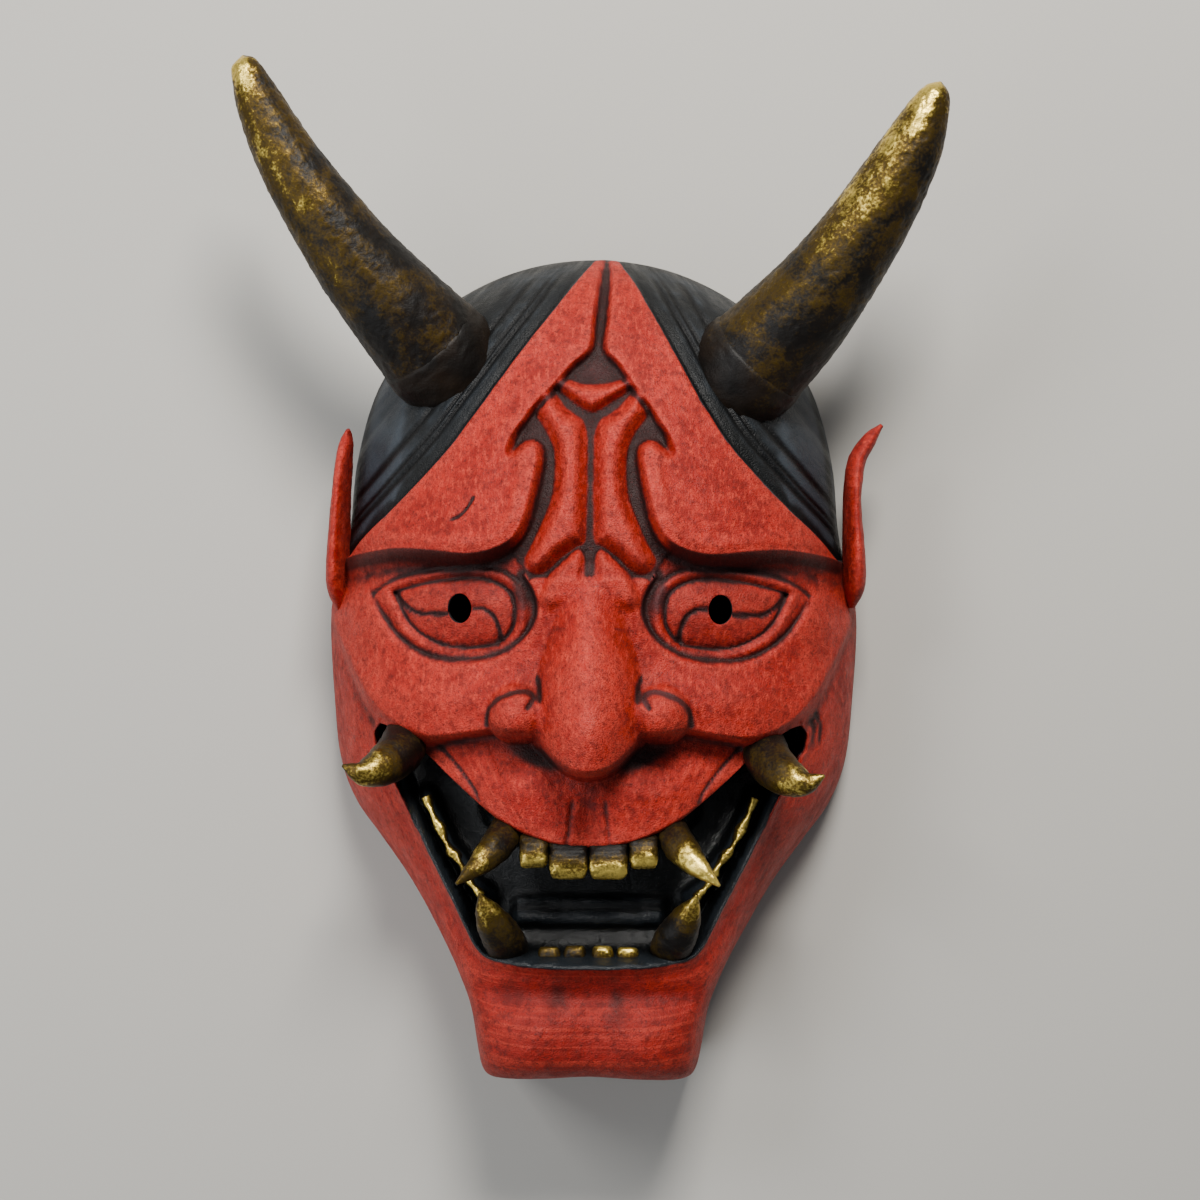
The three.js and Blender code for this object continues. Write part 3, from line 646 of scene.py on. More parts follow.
def place(piece, node, slot):
    """Make a finished piece ride with the mask, in place of a solid. Its slot is not used."""
    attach(piece, "root")
    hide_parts(node)
    print(piece.name, "faces", len(piece.data.polygons))


# %% [markdown]
# ## Paint recipes
# Real colours are written as sRGB hex values, because that is how they are picked from a photo, and
# Blender's shaders work in linear light. One function turns the one into the other, and one small function
# adds a node.

# %% Colour and node helpers
NOISE, MIX, RANGE, MATH = "ShaderNodeTexNoise", "ShaderNodeMix", "ShaderNodeMapRange", "ShaderNodeMath"
PLACE, FIELD, BUMP = "ShaderNodeTexCoord", "ShaderNodeAttribute", "ShaderNodeBump"
COLOURS = {"data_type": "RGBA"}
SOFT = {"interpolation_type": "SMOOTHSTEP"}
SUM = {"operation": "ADD"}
PRODUCT = {"operation": "MULTIPLY", "use_clamp": True}


def colour(hex_value):
    """Linear red, green, blue and alpha from an sRGB hex value, by the sRGB curve."""
    srgb = np.array([int(hex_value[k:k + 2], 16) / 255 for k in (1, 3, 5)])
    linear = np.where(srgb <= 0.04045, srgb / 12.92, ((srgb + 0.055) / 1.055) ** 2.4)
    return (*linear, 1.0)


def add(tree, kind, settings, output, *values, **named):
    """A node with its settings, and its inputs set to values or linked to sockets. It returns one output.

    Inputs are given in their order, or by name, or as _6 for number 6.
    """
    node = tree.nodes.new(kind)
    for key, value in settings.items():
        setattr(node, key, value)
    chosen = [(node.inputs[k], value) for k, value in enumerate(values)]
    for key, value in named.items():
        chosen.append((node.inputs[int(key[1:]) if key[0] == "_" else key.replace("_", " ")], value))
    for socket, value in chosen:
        if isinstance(value, bpy.types.NodeSocket):
            tree.links.new(value, socket)
        else:
            socket.default_value = value
    return node.outputs[output]


def per_mm(size):
    """Texture scale on coordinates in metres, for a pattern of this size in millimetres."""
    return 1.0 / (size * MM)


def finish(tree, shader, **sockets):
    """Link the last sockets of a recipe to the shader's own inputs."""
    for key, socket in sockets.items():
        tree.links.new(socket, shader.inputs[key.replace("_", " ")])


def new_material(name, **fixed):
    """A material, its node tree and its main shader, with the values that are the same all over set on it."""
    material = bpy.data.materials.new(name)
    material.use_nodes = True
    tree = material.node_tree
    shader = tree.nodes["Principled BSDF"]
    for key, value in fixed.items():
        shader.inputs[key.replace("_", " ")].default_value = value
    return material, tree, shader


# %% [markdown]
# ## Red and blue-black brush paint with a dark wash
# Matte acrylic, brushed on in several thin coats over a sealed casting. It gives a chalky red that is
# lighter where the dry brush touched the high places, and a purple-brown wash has run into the carving and
# dried there. Under the brow and the nose a painted shade darkens it nearly to black, and painted shade also
# darkens the eyes, the deep grooves, the broad hollows, the channel beside the forehead's muscles and the
# lower chin; two spots on the chin are stains. Fine dark specks are the pits of the casting, picked out by
# the wash. The hair is a satin black with a little blue in it, worn to grey on the carved strands, and the
# mouth a wet, glossy black that pools, so its highlights are small and bright. The three meet along
# hand-painted edges, so one material mixes them by the distance that each point keeps to those edges.

# %% Brush paint
def brush_paint():
    """Red, hair black and mouth black in one material, mixed along their painted edges."""
    name = "brushed_acrylic_red_and_blue_black"
    material, tree, shader = new_material(name, IOR=1.46, Specular_IOR_Level=0.3)
    at = add(tree, PLACE, {}, "Object")
    along = add(tree, FIELD, {"attribute_name": "brush"}, "Vector")
    lift, wash, dark, hair, mouth = (
        add(tree, FIELD, {"attribute_name": name}, "Fac")
        for name in ("lift", "wash", "dark", "hair", "mouth")
    )
    broad, patchy, strokes, mottle, specks, grit = (
        add(tree, NOISE, {}, "Fac", Vector=where, Scale=per_mm(size), Detail=detail, Roughness=roughness)
        for where, size, detail, roughness in (
            (at, 26, 3, 0.5), (at, 6, 5, 0.6), (along, 1.2, 5, 0.6), (at, 2.4, 5, 0.68), (at, 0.7, 2, 0.5),
            (at, 0.45, 2, 0.5),
        )
    )

    # Shares of each layer of red, from the first coat to the pits, with a painted shade among them.
    second_coat = add(tree, RANGE, SOFT, 0, broad, 0.36, 0.64)
    patches = add(tree, RANGE, SOFT, 0, patchy, 0.42, 0.68, 0.0, 0.8)
    thin_paint = add(tree, RANGE, SOFT, 0, mottle, 0.45, 0.68, 0.0, 0.8)
    marks = add(tree, RANGE, SOFT, 0, strokes, 0.46, 0.66, 0.0, 0.8)
    patchy_brush = add(tree, RANGE, SOFT, 0, mottle, 0.36, 0.58, 0.0, 0.6)
    dry_brush = add(tree, MATH, PRODUCT, 0, lift, patchy_brush)
    # A painted shade, nearly black, where the dark field is high: under the brow and nose, over the eyes, in
    # deep grooves.
    shaded = add(tree, MATH, PRODUCT, 0, dark, 0.88)
    grains = add(tree, RANGE, SOFT, 0, grit, 0.48, 0.66, 0.0, 0.65)
    ragged = add(tree, RANGE, {}, 0, patchy, 0.3, 0.7, -0.2, 0.2)
    run = add(tree, MATH, SUM, 0, wash, ragged)
    wet = add(tree, RANGE, SOFT, 0, run, 0.12, 0.85, 0.0, 0.92)
    pits = add(tree, RANGE, SOFT, 0, specks, 0.58, 0.70, 0.0, 0.6)
    stain = add(tree, MIX, COLOURS, 2, second_coat, _6=colour("#26100F"), _7=colour("#402729"))
    red = add(tree, MIX, COLOURS, 2, second_coat, _6=colour("#9A180D"), _7=colour("#AE2417"))
    for share, laid in (
        (patches, colour("#7A1009")), (marks, colour("#C23A2A")), (dry_brush, colour("#CE4636")),
        (thin_paint, colour("#650D08")), (grains, colour("#7E160E")), (wet, stain),
        (shaded, colour("#1D0706")), (pits, colour("#430D09")),
    ):
        red = add(tree, MIX, COLOURS, 2, share, _6=red, _7=laid)

    black = add(tree, MIX, COLOURS, 2, second_coat, _6=colour("#07090A"), _7=colour("#0F1215"))
    worn = add(tree, MATH, PRODUCT, 0, lift, 0.55)
    black = add(tree, MIX, COLOURS, 2, worn, _6=black, _7=colour("#434B54"))
    black = add(tree, MIX, COLOURS, 2, wash, _6=black, _7=colour("#050506"))
    edges = add(tree, MATH, PRODUCT, 0, lift, 0.4)
    gloss = add(tree, MIX, COLOURS, 2, edges, _6=colour("#08090A"), _7=colour("#2C3238"))

    # Hand-painted edges wander by a few tenths of a millimetre.
    wander = add(tree, RANGE, {}, 0, patchy, 0.3, 0.7, -0.3, 0.3)
    hair, mouth = (add(tree, MATH, SUM, 0, edge, wander) for edge in (hair, mouth))
    in_hair = add(tree, RANGE, SOFT, 0, hair, -0.25, 0.25)
    in_mouth = add(tree, RANGE, SOFT, 0, mouth, -0.2, 0.3)
    base = add(tree, MIX, COLOURS, 2, in_hair, _6=red, _7=black)
    base = add(tree, MIX, COLOURS, 2, in_mouth, _6=base, _7=gloss)
    matte = add(tree, RANGE, {}, 0, patchy, 0.3, 0.7, 0.48, 0.7)
    satin = add(tree, RANGE, {}, 0, strokes, 0.35, 0.65, 0.38, 0.62)
    glossy = add(tree, RANGE, {}, 0, broad, 0.35, 0.7, 0.14, 0.34)
    sheen = add(tree, MIX, {}, 0, in_hair, _2=matte, _3=satin)
    sheen = add(tree, MIX, {}, 0, in_mouth, _2=sheen, _3=glossy)
    brushed = add(tree, BUMP, {}, 0, Strength=0.5, Distance=0.4 * MM, Height=strokes)
    uneven = add(tree, BUMP, {}, 0, Strength=0.6, Distance=0.5 * MM, Height=mottle, Normal=brushed)
    gritty = add(tree, BUMP, {}, 0, Strength=0.8, Distance=0.35 * MM, Height=grit, Normal=uneven)
    finish(tree, shader, Base_Color=base, Roughness=sheen, Normal=gritty)
    return material


# %% Flat black inside
def inside_paint():
    """A flat black coat, a little uneven in its dullness."""
    material, tree, shader = new_material("flat_black_inside_coat", IOR=1.46)
    at = add(tree, PLACE, {}, "Object")
    broad = add(tree, NOISE, {}, "Fac", Vector=at, Scale=per_mm(9), Detail=4.0)
    fine = add(tree, NOISE, {}, "Fac", Vector=at, Scale=per_mm(1.5), Detail=3.0)
    clouds = add(tree, RANGE, SOFT, 0, broad, 0.35, 0.7)
    base = add(tree, MIX, COLOURS, 2, clouds, _6=colour("#101012"), _7=colour("#1E1E20"))
    dull = add(tree, RANGE, SOFT, 0, broad, 0.3, 0.7, 0.7, 0.88)
    uneven = add(tree, BUMP, {}, 0, Strength=0.4, Distance=0.4 * MM, Height=fine)
    finish(tree, shader, Base_Color=base, Roughness=dull, Normal=uneven)
    return material


# %% [markdown]
# ## Gold brushed over dark brown
# The horns and teeth were painted near-black brown first. Metallic gold was then dragged over them with a
# nearly dry brush: it catches on the raised grain and on the tips, misses in patches, and leaves the pits
# and roots dark.

# %% Gold paint
def gold_paint():
    """Umber, bronze and bright gold, by the share of gold on each place: the brush's gold, and on the horns a
    painted highlight too.
    """
    material, tree, shader = new_material("gold_dry_brush_over_umber", IOR=1.5, Specular_IOR_Level=0.22)
    at = add(tree, PLACE, {}, "Object")
    gold_with_highlight, lift = (
        add(tree, FIELD, {"attribute_name": name}, "Fac") for name in ("gold", "lift")
    )
    grain = add(tree, NOISE, {}, "Fac", Vector=at, Scale=per_mm(0.8), Detail=3.0, Roughness=0.6)
    patchy = add(tree, NOISE, {}, "Fac", Vector=at, Scale=per_mm(11), Detail=4.0)
    sways = (grain, 0.3, 0.7, 0.2), (patchy, 0.35, 0.65, 0.22), (lift, 0.2, 0.8, 0.08)
    for field, low, high, sway in sways:
        more_or_less = add(tree, RANGE, {}, 0, field, low, high, -sway, sway)
        gold_with_highlight = add(tree, MATH, SUM, 0, gold_with_highlight, more_or_less)
    clouds = add(tree, RANGE, SOFT, 0, patchy, 0.35, 0.65)
    umber = add(tree, MIX, COLOURS, 2, clouds, _6=colour("#0A0705"), _7=colour("#19110A"))
    bronze = add(tree, RANGE, SOFT, 0, gold_with_highlight, -0.06, 0.65)
    bright = add(tree, RANGE, SOFT, 0, gold_with_highlight, 0.45, 1.0)
    base = add(tree, MIX, COLOURS, 2, bronze, _6=umber, _7=colour("#544219"))
    base = add(tree, MIX, COLOURS, 2, bright, _6=base, _7=colour("#E2C560"))
    metal = add(tree, MATH, PRODUCT, 0, bronze, 0.9)
    polish = add(tree, RANGE, SOFT, 0, gold_with_highlight, 0.0, 1.0, 0.5, 0.33)
    pitted = add(tree, BUMP, {}, 0, Strength=0.45, Distance=0.3 * MM, Height=grain)
    finish(tree, shader, Base_Color=base, Metallic=metal, Roughness=polish, Normal=pitted)
    return material


BRUSH, INSIDE, GOLD = brush_paint(), inside_paint(), gold_paint()
print("materials:", [m.name for m in bpy.data.materials])

# %% [markdown]
# ## The shell as one closed body
# Outside and inside are two grids. The inside has a fifth of the outside's lines, so each of its rim edges
# meets five edges of the outside, and one flat seven-cornered face closes the gap between them. The pupils
# are then cut through.

# %% Height of the outside, with the mouth sunk into it
WALL = 5.0
ROOF = 7.0
LINING = 3.2
NOSE_ROOM = 9
WAVE = 0.22
RIPPLE = 0.13

z_face = dome + height * smooth(0, 0.45, full)
z = mix(z_face, mouth_height(u, y), smooth(-0.05, 0.5, mouth))
outside = np.stack([x, y, z], -1)
held_off_rim = smooth(0.05, 0.3, full)
z = z + WAVE * held_off_rim * rough(outside, 9.0, 11)
z = z + RIPPLE * held_off_rim * rough(outside, 2.4, 23, 2)
outside[..., 2] = z


# %% Where the dry brush touches, and where shade is painted
def blurred(field, radius, passes=3):
    """A running mean over the grid's neighbours, along both its directions, taken a few times."""
    window = 2 * radius + 1
    for _ in range(passes):
        for axis in (0, 1):
            padded = np.pad(field, [(radius, radius) if k == axis else (0, 0) for k in (0, 1)], "edge")
            total = np.insert(np.cumsum(padded, axis), 0, 0, axis)
            at = np.arange(field.shape[axis])
            field = (total.take(at + window, axis) - total.take(at, axis)) / window
    return field


raised_fine = z - blurred(z, 2)
raised_broad = z - blurred(z, 6)
touched = 0.6 * smooth(0.08, 0.6, raised_fine) + 0.6 * smooth(0.3, 1.6, raised_broad)
lift = np.clip(touched, 0, 1) * (1 - wash)
# Painted shade: a dark band just under the brow's overhang, fading further down.
brow_gap = signed(u, y, BROW_EDGE[BROW_EDGE[:, 1] < 20], [(15, 40), (80, 40)])
overhung = smooth(-5, -2.5, brow_gap) + 0.45 * smooth(-11, -7, brow_gap)
under_brow = smooth(0.3, -0.6, brow_gap) * overhung * smooth(20, 24, u)
# Painted shade under the nose, where its underside hangs over the upper lip.
under_nose = spot((u - 15.5) / 7.5, (y + 47.2 - 0.25 * (u - 15)) / 2.3)
# Painted shade deep in the washed grooves, darker the deeper they are.
shade_in_deep_grooves = wash * np.maximum(smooth(0.02, 0.3, -raised_fine), 0.8 * smooth(0.3, 1.3, -raised_broad))
# Painted shade over the eyeball, which sits under the brow.
in_eye = 0.28 * smooth(-0.5, 1.5, signed(u, y, EYE))
# The chin is darker towards its bottom as a painted shade; the two spots on it are stains.
on_chin = 0.26 * smooth(-104, -122, y)
for stain_x, stain_y, wide, tall in ((-8.6, -116, 3, 6), (8.2, -120, 2.5, 8)):
    on_chin = on_chin + 0.5 * spot((x - stain_x) / wide, (y - stain_y) / tall)
# Painted shade in the channel floor beside the forehead's muscles.
beside_muscle = wash * smooth(54, 47, y) * smooth(7, 9, u) * smooth(17, 15, u) * smooth(2, 8, y)
# All of it goes into the dark field: painted shade, a little more in the broad hollows, and the chin's
# stains.
dark = under_brow + 0.95 * under_nose + shade_in_deep_grooves + in_eye + 0.22 * smooth(0.6, 2.6, -raised_broad)
dark = np.clip(dark + beside_muscle + on_chin, 0, 1)
print("wash covers", (wash > 0.5).mean().round(3), "of the face")

# %% Which way the brush went
# The brush field holds a place across and along the strokes, which run along the hairline, along the jaw, or
# else down the face.
to_hair = nearest(u, y, HAIRLINE, FAR)[0]
to_jaw = nearest(u, y, JAW_EDGE, FAR)[0]
on_jaw = (to_jaw < 30) & (y < -45) & (mouth < 0)
brush_across = np.where(hair > 0, 0.4 * to_hair, np.where(on_jaw, to_jaw, x))
brush_along = y * np.where(hair > 0, 0.08, np.where(on_jaw, 0.2, 0.4))
brush = np.stack([brush_across, brush_along, 0 * x], -1) * MM

# %% The inside and the rim
s_in, t_in = grid_lines(INSIDE_STEP)
x_in, y_in = plan(s_in, t_in)
full_in = fullness(s_in, t_in, y_in)
sockets = -SOCKET_DEPTH * spot((np.abs(x_in) - 38) / 24, (y_in + 6) / 15)
nose_room = NOSE_ROOM * spot(x_in / 14, (y_in + 34) / 17)
z_in = (crest(y_in) - ROOF + sockets + nose_room) * full_in
x_in, y_in = x_in - WALL * s_in, y_in - WALL * t_in
mouth_in = in_mouth(np.abs(x_in), y_in)
lining = mouth_floor(np.abs(x_in), y_in) - LINING
z_in = mix(z_in, np.minimum(z_in, lining), smooth(-LINING - 2, -LINING, mouth_in))
within = np.stack([x_in, y_in, z_in], -1)


def border(rows, columns, first=0):
    """Point numbers round a grid's edge, anticlockwise from its first corner."""
    at = first + np.arange(rows * columns).reshape(rows, columns)
    return np.concatenate([at[0, :-1], at[:-1, -1], at[-1, :0:-1], at[:0:-1, 0]])


outer_edge = border(*x.shape)
inner_edge = border(*x_in.shape, first=x.size)
k = np.arange(len(inner_edge))
outer_run = outer_edge[(INSIDE_STEP * k[:, None] + np.arange(INSIDE_STEP, -1, -1)) % len(outer_edge)]
rim = np.column_stack([outer_run, inner_edge, np.roll(inner_edge, -1)])

front_faces = grid_triangles(z)
back_faces = grid_faces(*x_in.shape, first=x.size, turned=True)

material_of = np.concatenate([np.zeros(len(front_faces)), np.ones(len(back_faces) + len(rim))]).astype(int)
outside_fields = {
    "wash": wash, "lift": lift, "dark": dark, "hair": hair, "mouth": np.clip(mouth, -HELD, HELD),
    "brush": brush,
}
shell_fields = {}
for key, field in outside_fields.items():
    flat = field.reshape(x.size, -1)
    shell_fields[key] = np.concatenate([flat, np.zeros((x_in.size, flat.shape[1]))])
shell_points = np.vstack([outside.reshape(-1, 3), within.reshape(-1, 3)])
shell_faces = [front_faces, back_faces, rim]
shell = new_piece("shell_blank", shell_points, shell_faces, [BRUSH, INSIDE], shell_fields, material_of)


# %% The pupils, cut through
PUPIL_X = 36.8
PUPIL_Y = -6.6
PUPIL_ACROSS = 3.4
PUPIL_UP = 4.2
ROD_LOW = 20
ROD_HIGH = 110


def rod(name, cx, cy, radius_x, radius_y, low, high, count=48):
    """A closed upright oval rod: one ring below, one above, and a flat many-sided face on each end."""
    angle = np.linspace(0, 2 * np.pi, count, endpoint=False)
    ring = np.stack([cx + radius_x * np.cos(angle), cy + radius_y * np.sin(angle)], -1)
    points = np.vstack([np.column_stack([ring, np.full(count, level)]) for level in (low, high)])
    at = np.arange(count)
    sides = np.stack([at, np.roll(at, -1), np.roll(at, -1) + count, at + count], -1)
    ends = np.stack([at[::-1], at + count])
    return new_piece(name, points, [sides, ends], [INSIDE], {})


def cut_through(blank, tools, name):
    """The blank less its tools, as a new object. The tools and the blank are then thrown away."""
    for tool in tools:
        cutter = blank.modifiers.new(tool.name, "BOOLEAN")
        cutter.operation, cutter.object, cutter.solver = "DIFFERENCE", tool, "EXACT"
    bpy.context.view_layer.update()
    mesh = bpy.data.meshes.new_from_object(blank.evaluated_get(bpy.context.evaluated_depsgraph_get()))
    mesh.name = name
    for spare in (blank, *tools):
        bpy.data.objects.remove(spare)
    return new_object(name, mesh)


pupils = [
    rod(f"pupil_{k}", side * PUPIL_X, PUPIL_Y, PUPIL_ACROSS, PUPIL_UP, ROD_LOW, ROD_HIGH)
    for k, side in enumerate((-1, 1))
]
face = cut_through(shell, pupils, "face_and_hair_cap")
place(face, "mask_shell", "red_paint")

# %% [markdown]
# ## Limbs along a bent path
# Horns, fangs and ears are all one idea: an oval ring carried along a smooth path while it shrinks. Each
# station gives the ring's middle, its half width and its half depth. A pitted skin is added by moving each
# point along its ring's own outward direction.

# %% A limb of oval rings
THINNEST = 0.05


def stations(line, count):
    """Stations on a smooth curve through the given ones, evenly by point number."""
    p = with_ends(line)
    at = np.linspace(0, len(line) - 1, count)
    i = np.clip(np.floor(at).astype(int), 0, len(line) - 2)
    found = catmull_rom(p[i], p[i + 1], p[i + 2], p[i + 3], (at - i)[:, None])
    found[:, 3:] = np.maximum(found[:, 3:], THINNEST)
    return found


def limb(name, line, rings, around, material, gold, skin, skin_size, square=2.0, seed=5, paint=()):
    """Rings of points: middle + side * width * cos + up * depth * sin, the two to the power 2 / square.

    gold is a function of the share of the way along and of the outward direction, for the dry brush. paint
    holds values that are the same all over the piece, such as how far it lies inside the hair's black.
    """
    line = stations(line, rings)
    heading = np.gradient(line[:, :3], axis=0)
    heading /= np.linalg.norm(heading, axis=1, keepdims=True)
    side = np.cross([0.0, 0.0, 1.0], heading)
    side /= np.linalg.norm(side, axis=1, keepdims=True)
    up = np.cross(heading, side)
    angle = np.linspace(0, 2 * np.pi, around, endpoint=False)
    c, s = (np.sign(f) * np.abs(f) ** (2 / square) for f in (np.cos(angle), np.sin(angle)))
    out = side[:, None] * c[None, :, None] + up[:, None] * s[None, :, None]
    wide = side[:, None] * (line[:, None, 3] * c)[..., None]
    deep = up[:, None] * (line[:, None, 4] * s)[..., None]
    plain = line[:, None, :3] + (wide + deep)
    grain = rough(plain, skin_size, seed) - 0.7 * np.abs(rough(plain, skin_size * 0.6, seed + 9))
    fade = smooth(0.0, 1.0, line[:, 3] / 2.0)[:, None]
    points = plain + out * (skin * grain * fade)[..., None]
    share = np.linspace(0, 1, rings)[:, None] + 0 * angle
    at = np.arange(rings * around).reshape(rings, around)
    ahead = np.roll(at, -1, 1)
    walls = np.stack([at[:-1], ahead[:-1], ahead[1:], at[1:]], -1).reshape(-1, 4)
    ends = np.stack([at[0, ::-1], at[-1]])
    outward = out / np.linalg.norm(out, axis=-1, keepdims=True)
    fields = {"lift": np.clip(0.5 + 0.9 * grain, 0, 1)}
    if gold:
        fields["gold"] = gold(share, outward)
    for key, value in paint:
        fields[key] = value + 0 * share
    if paint:
        fields["brush"] = np.stack([line[:, 3:4] * angle, 40 * share, 0 * share], -1) * MM
    return new_piece(name, points.reshape(-1, 3), [walls, ends], [material], fields)


def mirrored(line, side, shift=(0.0, 0.0)):
    """Stations of the right-hand limb, or of its twin on the left, moved a little if it stands askew."""
    return [(px * side + shift[0], py + shift[1], *rest) for px, py, *rest in line]


# %% [markdown]
# ## Horns
# Each horn was cast by itself and glued on. Its skin is pitted like leather, and the gold was brushed on
# from the tip, so it fades to near black at the root. More gold is laid on the side that faces the upper
# left as a painted highlight, so the lower right is darker.

# %% Horns
HORN_RINGS = 220
HORN_AROUND = 150
HORN_LEFT = [
    (-41, 60, 38, 17.2), (-48, 71, 48, 16.3), (-56.3, 80, 54, 14.7), (-66.8, 92, 59, 12.8),
    (-76.2, 105, 63, 11), (-85.8, 119.5, 66, 9.1), (-93.6, 134.7, 68, 6.9), (-97.2, 143.8, 69, 4.8),
    (-98.2, 147.4, 69.3, 3.1), (-98.7, 149, 69.5, 0.3),
]
HORN_RIGHT = [
    (41, 57, 38, 17), (48.6, 67, 48, 16.2), (58.4, 77, 54, 15), (67.3, 87.5, 60, 13.2), (76, 99.5, 65, 11.7),
    (83.6, 112, 69.5, 10.2), (89.7, 123.5, 73, 8.4), (94.0, 133.6, 76, 5.6), (95.8, 138, 77, 3.4),
    (96.6, 140, 77.5, 0.3),
]


def oval(line):
    """Stations as wide as they are deep."""
    return [(*middle, radius, radius) for *middle, radius in line]


def horn_gold_and_highlight(share, outward):
    """More gold towards the tip, and a painted highlight of gold on the side facing up and to the left. The
    root is left dark.
    """
    lit = outward @ np.array([-0.6, 0.3, 0.75])
    # Gold grows towards the tip; the side facing the upper left gets more of it as a painted highlight.
    brushed = (0.2 + 0.65 * smooth(0, 1.0, share)) * (0.25 + 0.8 * smooth(0.2, 0.95, lit))
    return brushed + 0.35 * smooth(0.6, 1, share) - 0.06 * smooth(0.3, 0.06, share)


for node, line in (("horn_left", HORN_LEFT), ("horn_right", HORN_RIGHT)):
    horn = limb(node + "_horn", oval(line)[1:], HORN_RINGS, HORN_AROUND, GOLD, horn_gold_and_highlight, 0.17, 1.8, seed=41)
    place(horn, node, "gold_paint")

# %% [markdown]
# ## Teeth, ears and collars
# The teeth are stout and squarish, with their roots sunk in the black of the mouth. The ears are thin
# upright blades. A low bead stands round the foot of each horn, painted with the same dark brown as the
# horn's root.

# %% Teeth
TOOTH_RINGS = 60
TOOTH_AROUND = 44
CORNER_TUSK = [
    (53, -43.5, 50, 6.5, 6.5), (54, -47.2, 62, 6.6, 6.6), (57.5, -50.8, 71, 5.7, 5.7),
    (63, -52.6, 76, 3.7, 3.7), (68.4, -50.4, 78, 0.4, 0.4),
]
UPPER_CANINE = [
    (23, -69, 60, 4.8, 4.8), (26, -73.5, 70, 4.7, 4.7), (31, -78.5, 76, 3, 3), (36.5, -83, 79, 0.4, 0.4),
]
LOWER_CANINE = [
    (22.5, -105.5, 54, 5.3, 5.3), (24.5, -100.4, 63, 5.8, 5.5), (28, -93, 69, 4, 4),
    (30.5, -86.4, 72, 0.4, 0.4),
]


def tooth_gold(start, strength):
    """Rule for a tooth that is dark up to a share of its length, then gold, most of all where it faces up."""
    def rule(share, outward):
        """Gold by the share of the way along and the outward direction."""
        upward = smooth(-0.2, 0.8, outward[..., 2])
        return strength * smooth(start, start + 0.45, share) * (0.7 + 0.35 * upward)
    return rule


def front_tooth(x, y, z, half_width, length):
    """Stations of a flat front tooth of this length down the face, or up it when the length is negative."""
    return [
        (x, y, z - 3, half_width, 3), (x, y - length * 0.3, z - 1, half_width, 3.1),
        (x, y - length * 0.75, z, half_width * 0.98, 2.8), (x, y - length, z - 0.6, half_width * 0.8, 1.7),
    ]


# Each tooth has its stations, how square it is, where its gold starts, and how much gold the left one and the
# right one got.
TEETH = {
    "corner_tusk": (CORNER_TUSK, 2.2, 0.3, (0.62, 0.68)),
    "upper_canine": (UPPER_CANINE, 2.3, 0.25, (0.55, 1.0)),
    "lower_canine": (LOWER_CANINE, 2.3, 0.4, (0.58, 0.5)),
    "upper_tooth_1": (front_tooth(5.6, -73.5, 70, 5.5, 8.5), 4.5, 0.25, (0.85, 0.85)),
    "upper_tooth_2": (front_tooth(15.4, -72, 69, 4.1, 7), 4.0, 0.25, (0.75, 0.7)),
    "lower_tooth_1": (front_tooth(4, -109.8, 60, 3.2, -6.5), 3.0, 0.45, (0.6, 0.65)),
    "lower_tooth_2": (front_tooth(11.2, -109.8, 59.5, 3.3, -6), 3.0, 0.45, (0.6, 0.6)),
}
for side, hand in ((-1, "left"), (1, "right")):
    for name, (line, square, start, strengths) in TEETH.items():
        shift = (-3.0, -2.0) if (name, hand) == ("corner_tusk", "right") else (0.0, 0.0)
        gold = tooth_gold(start, strengths[side > 0])
        row = mirrored(line, side, shift)
        tooth = limb(
            f"{name}_{hand}", row, TOOTH_RINGS, TOOTH_AROUND, GOLD, gold, 0.2, 2.2, square, seed=60 + side,
        )
        place(tooth, "mask_shell", "gold_paint")


# %% Side teeth
def molar_row(side):
    """Stations of a row of worn crowns along the side gum: a low ridge that swells and shrinks four times."""
    line = MOLAR_LINE[::2]
    swell = 1.0 + 0.35 * np.cos(np.linspace(0, 8 * np.pi, len(line)))
    base = mouth_floor(line[:, 0], line[:, 1])
    return [(side * px, py, floor + 6.6, 1.3 * wide, 2.6) for (px, py), floor, wide in zip(line, base, swell)]


def worn_gold(share, outward):
    """Gold on the crowns alone."""
    return 0.85 * smooth(0.35, 0.9, outward[..., 2]) + 0 * share


for side, hand in ((-1, "left"), (1, "right")):
    row = limb(f"side_teeth_{hand}", molar_row(side), 120, 24, GOLD, worn_gold, 0.45, 2.6, 2.6, 71 + side)
    place(row, "mask_shell", "gold_paint")

# %% Ears
EAR_LEFT = [
    (-75.5, -7.5, 30, 1, 4), (-76.2, -1, 30, 3, 12), (-76.2, 8, 30, 2.9, 15), (-75.6, 25, 30, 2.4, 13),
    (-74.6, 37, 31, 2.2, 10), (-73.8, 43, 32, 1.9, 6), (-73.3, 46.4, 33, 0.6, 2),
]
EAR_RIGHT = [
    (77.4, -6, 30, 1, 4), (78.2, 0, 30, 3.1, 12), (78.2, 9, 30, 3, 15), (77.6, 25, 30, 2.4, 13),
    (78.6, 37, 31, 2.6, 10), (82.5, 44.3, 32, 2.2, 6), (86, 48.5, 33, 0.6, 2),
]
ALL_RED = (("hair", -3.0), ("mouth", -3.0), ("wash", 0.0), ("dark", 0.0))

for name, line in (("ear_left", EAR_LEFT), ("ear_right", EAR_RIGHT)):
    ear = limb(name, line, 90, 64, BRUSH, None, 0.15, 4.0, 2.2, 77, ALL_RED)
    place(ear, "mask_shell", "red_paint")

# %% Collars
def root_gold(share, outward):
    """Nearly no gold: the bead was painted with the horn's dark umber."""
    return 0.25 * smooth(0.5, 1, share) - 0.25 + 0 * outward[..., 0]


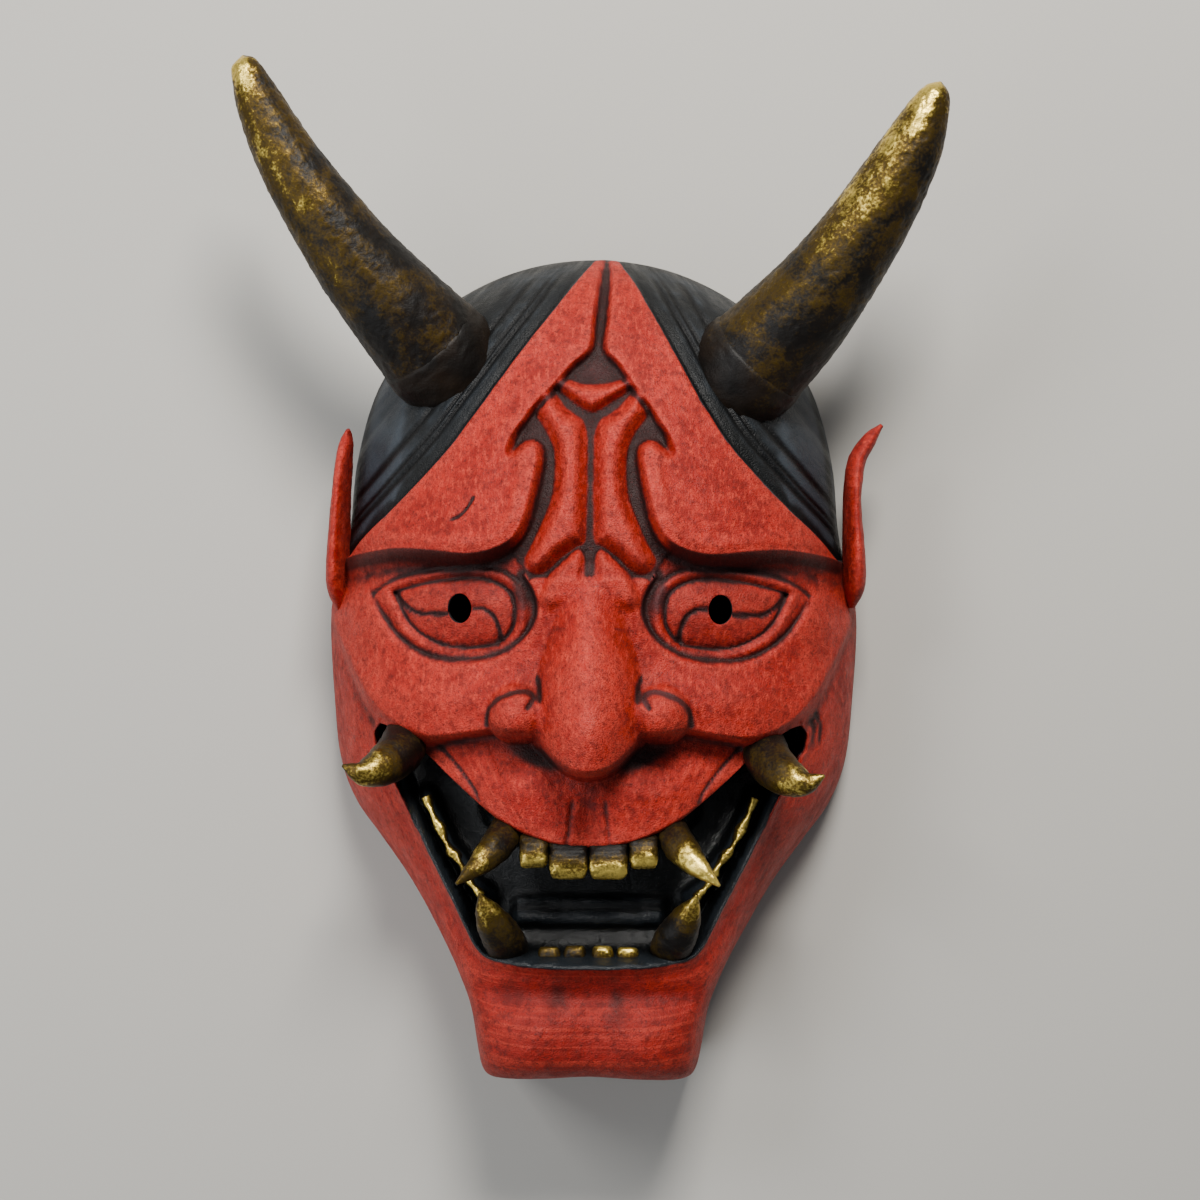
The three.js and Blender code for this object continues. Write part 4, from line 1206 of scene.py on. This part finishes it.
for name, line in (("collar_left", HORN_LEFT), ("collar_right", HORN_RIGHT)):
    low, high = np.array(line[1]), np.array(line[2])
    ahead = (high[:3] - low[:3]) / np.linalg.norm(high[:3] - low[:3])
    radius = low[3]
    rings = [(-14, radius), (-6, radius + 0.8), (-2.5, radius + 0.7), (0, radius + 0.35), (1.2, radius - 0.7)]
    stand = [(*(low[:3] + step * ahead), size, size) for step, size in rings]
    collar = limb(name, stand, 50, 120, GOLD, root_gold, 0.3, 7.0, 2.0, 83)
    place(collar, "mask_shell", "black_paint")

# %% [markdown]
# ## Floor, light and camera
# A plain pale floor lies under the rim. The key light stands beyond the crown, so each step of the brow and
# the nose shades what lies below it towards the chin. A smaller one at the upper left draws the highlights
# on horns and teeth, and a large soft fill from the lower left keeps the dark carving readable. The camera
# looks straight down.

# %% Floor
def plain_floor():
    """One large flat square in one matte colour."""
    material, _, shader = new_material("pale_plain_floor", IOR=1.45, Roughness=0.85)
    shader.inputs["Base Color"].default_value = colour("#B9B6B0")
    mesh = bpy.data.meshes.new("floor")
    reach = 3.0
    corners = [(-reach, -reach, 0), (reach, -reach, 0), (reach, reach, 0), (-reach, reach, 0)]
    mesh.from_pydata(corners, [], [(0, 1, 2, 3)])
    mesh.materials.append(material)
    new_object("floor", mesh)


plain_floor()

# %% Light
MIDDLE_HEIGHT = 0.05
ROOM_LIGHT = 0.2


def area_light(name, position, power, size, tint):
    """A square light that faces the middle of the mask."""
    light = bpy.data.lights.new(name, "AREA")
    light.energy, light.size, light.color = power, size, tint
    holder = new_object(name, light)
    holder.location = position
    aim = Vector((0.0, 0.0, MIDDLE_HEIGHT)) - holder.location
    holder.rotation_euler = aim.to_track_quat("-Z", "Y").to_euler()


area_light("key", (0.10, 0.58, 0.74), 12.6, 0.26, (1.0, 0.97, 0.92))
area_light("fill", (-0.7, -0.3, 0.65), 3.8, 0.7, (0.90, 0.95, 1.0))
area_light("upper_left", (-0.60, 0.45, 0.85), 5.0, 0.35, (1.0, 1.0, 1.0))
world = bpy.data.worlds.new("room")
world.use_nodes = True
world.node_tree.nodes["Background"].inputs["Color"].default_value = (0.9, 0.95, 1.0, 1.0)
world.node_tree.nodes["Background"].inputs["Strength"].default_value = ROOM_LIGHT
bpy.context.scene.world = world

# %% Camera
YAW = math.radians(0.8)
ROLL = math.radians(0.3)
TARGET = (np.array([2.58, -4.05, 50.0]) + TO_FRAME) * MM
DISTANCE = 0.62
LENS = 64.04
SENSOR = 36.0
camera = new_object("camera", bpy.data.cameras.new("camera"))
camera.data.lens = LENS
camera.data.sensor_width = SENSOR
camera.location = TARGET + DISTANCE * np.array([math.sin(YAW), 0.0, math.cos(YAW)])
camera.rotation_euler = (Matrix.Rotation(YAW, 3, "Y") @ Matrix.Rotation(ROLL, 3, "Z")).to_euler()
bpy.context.scene.camera = camera
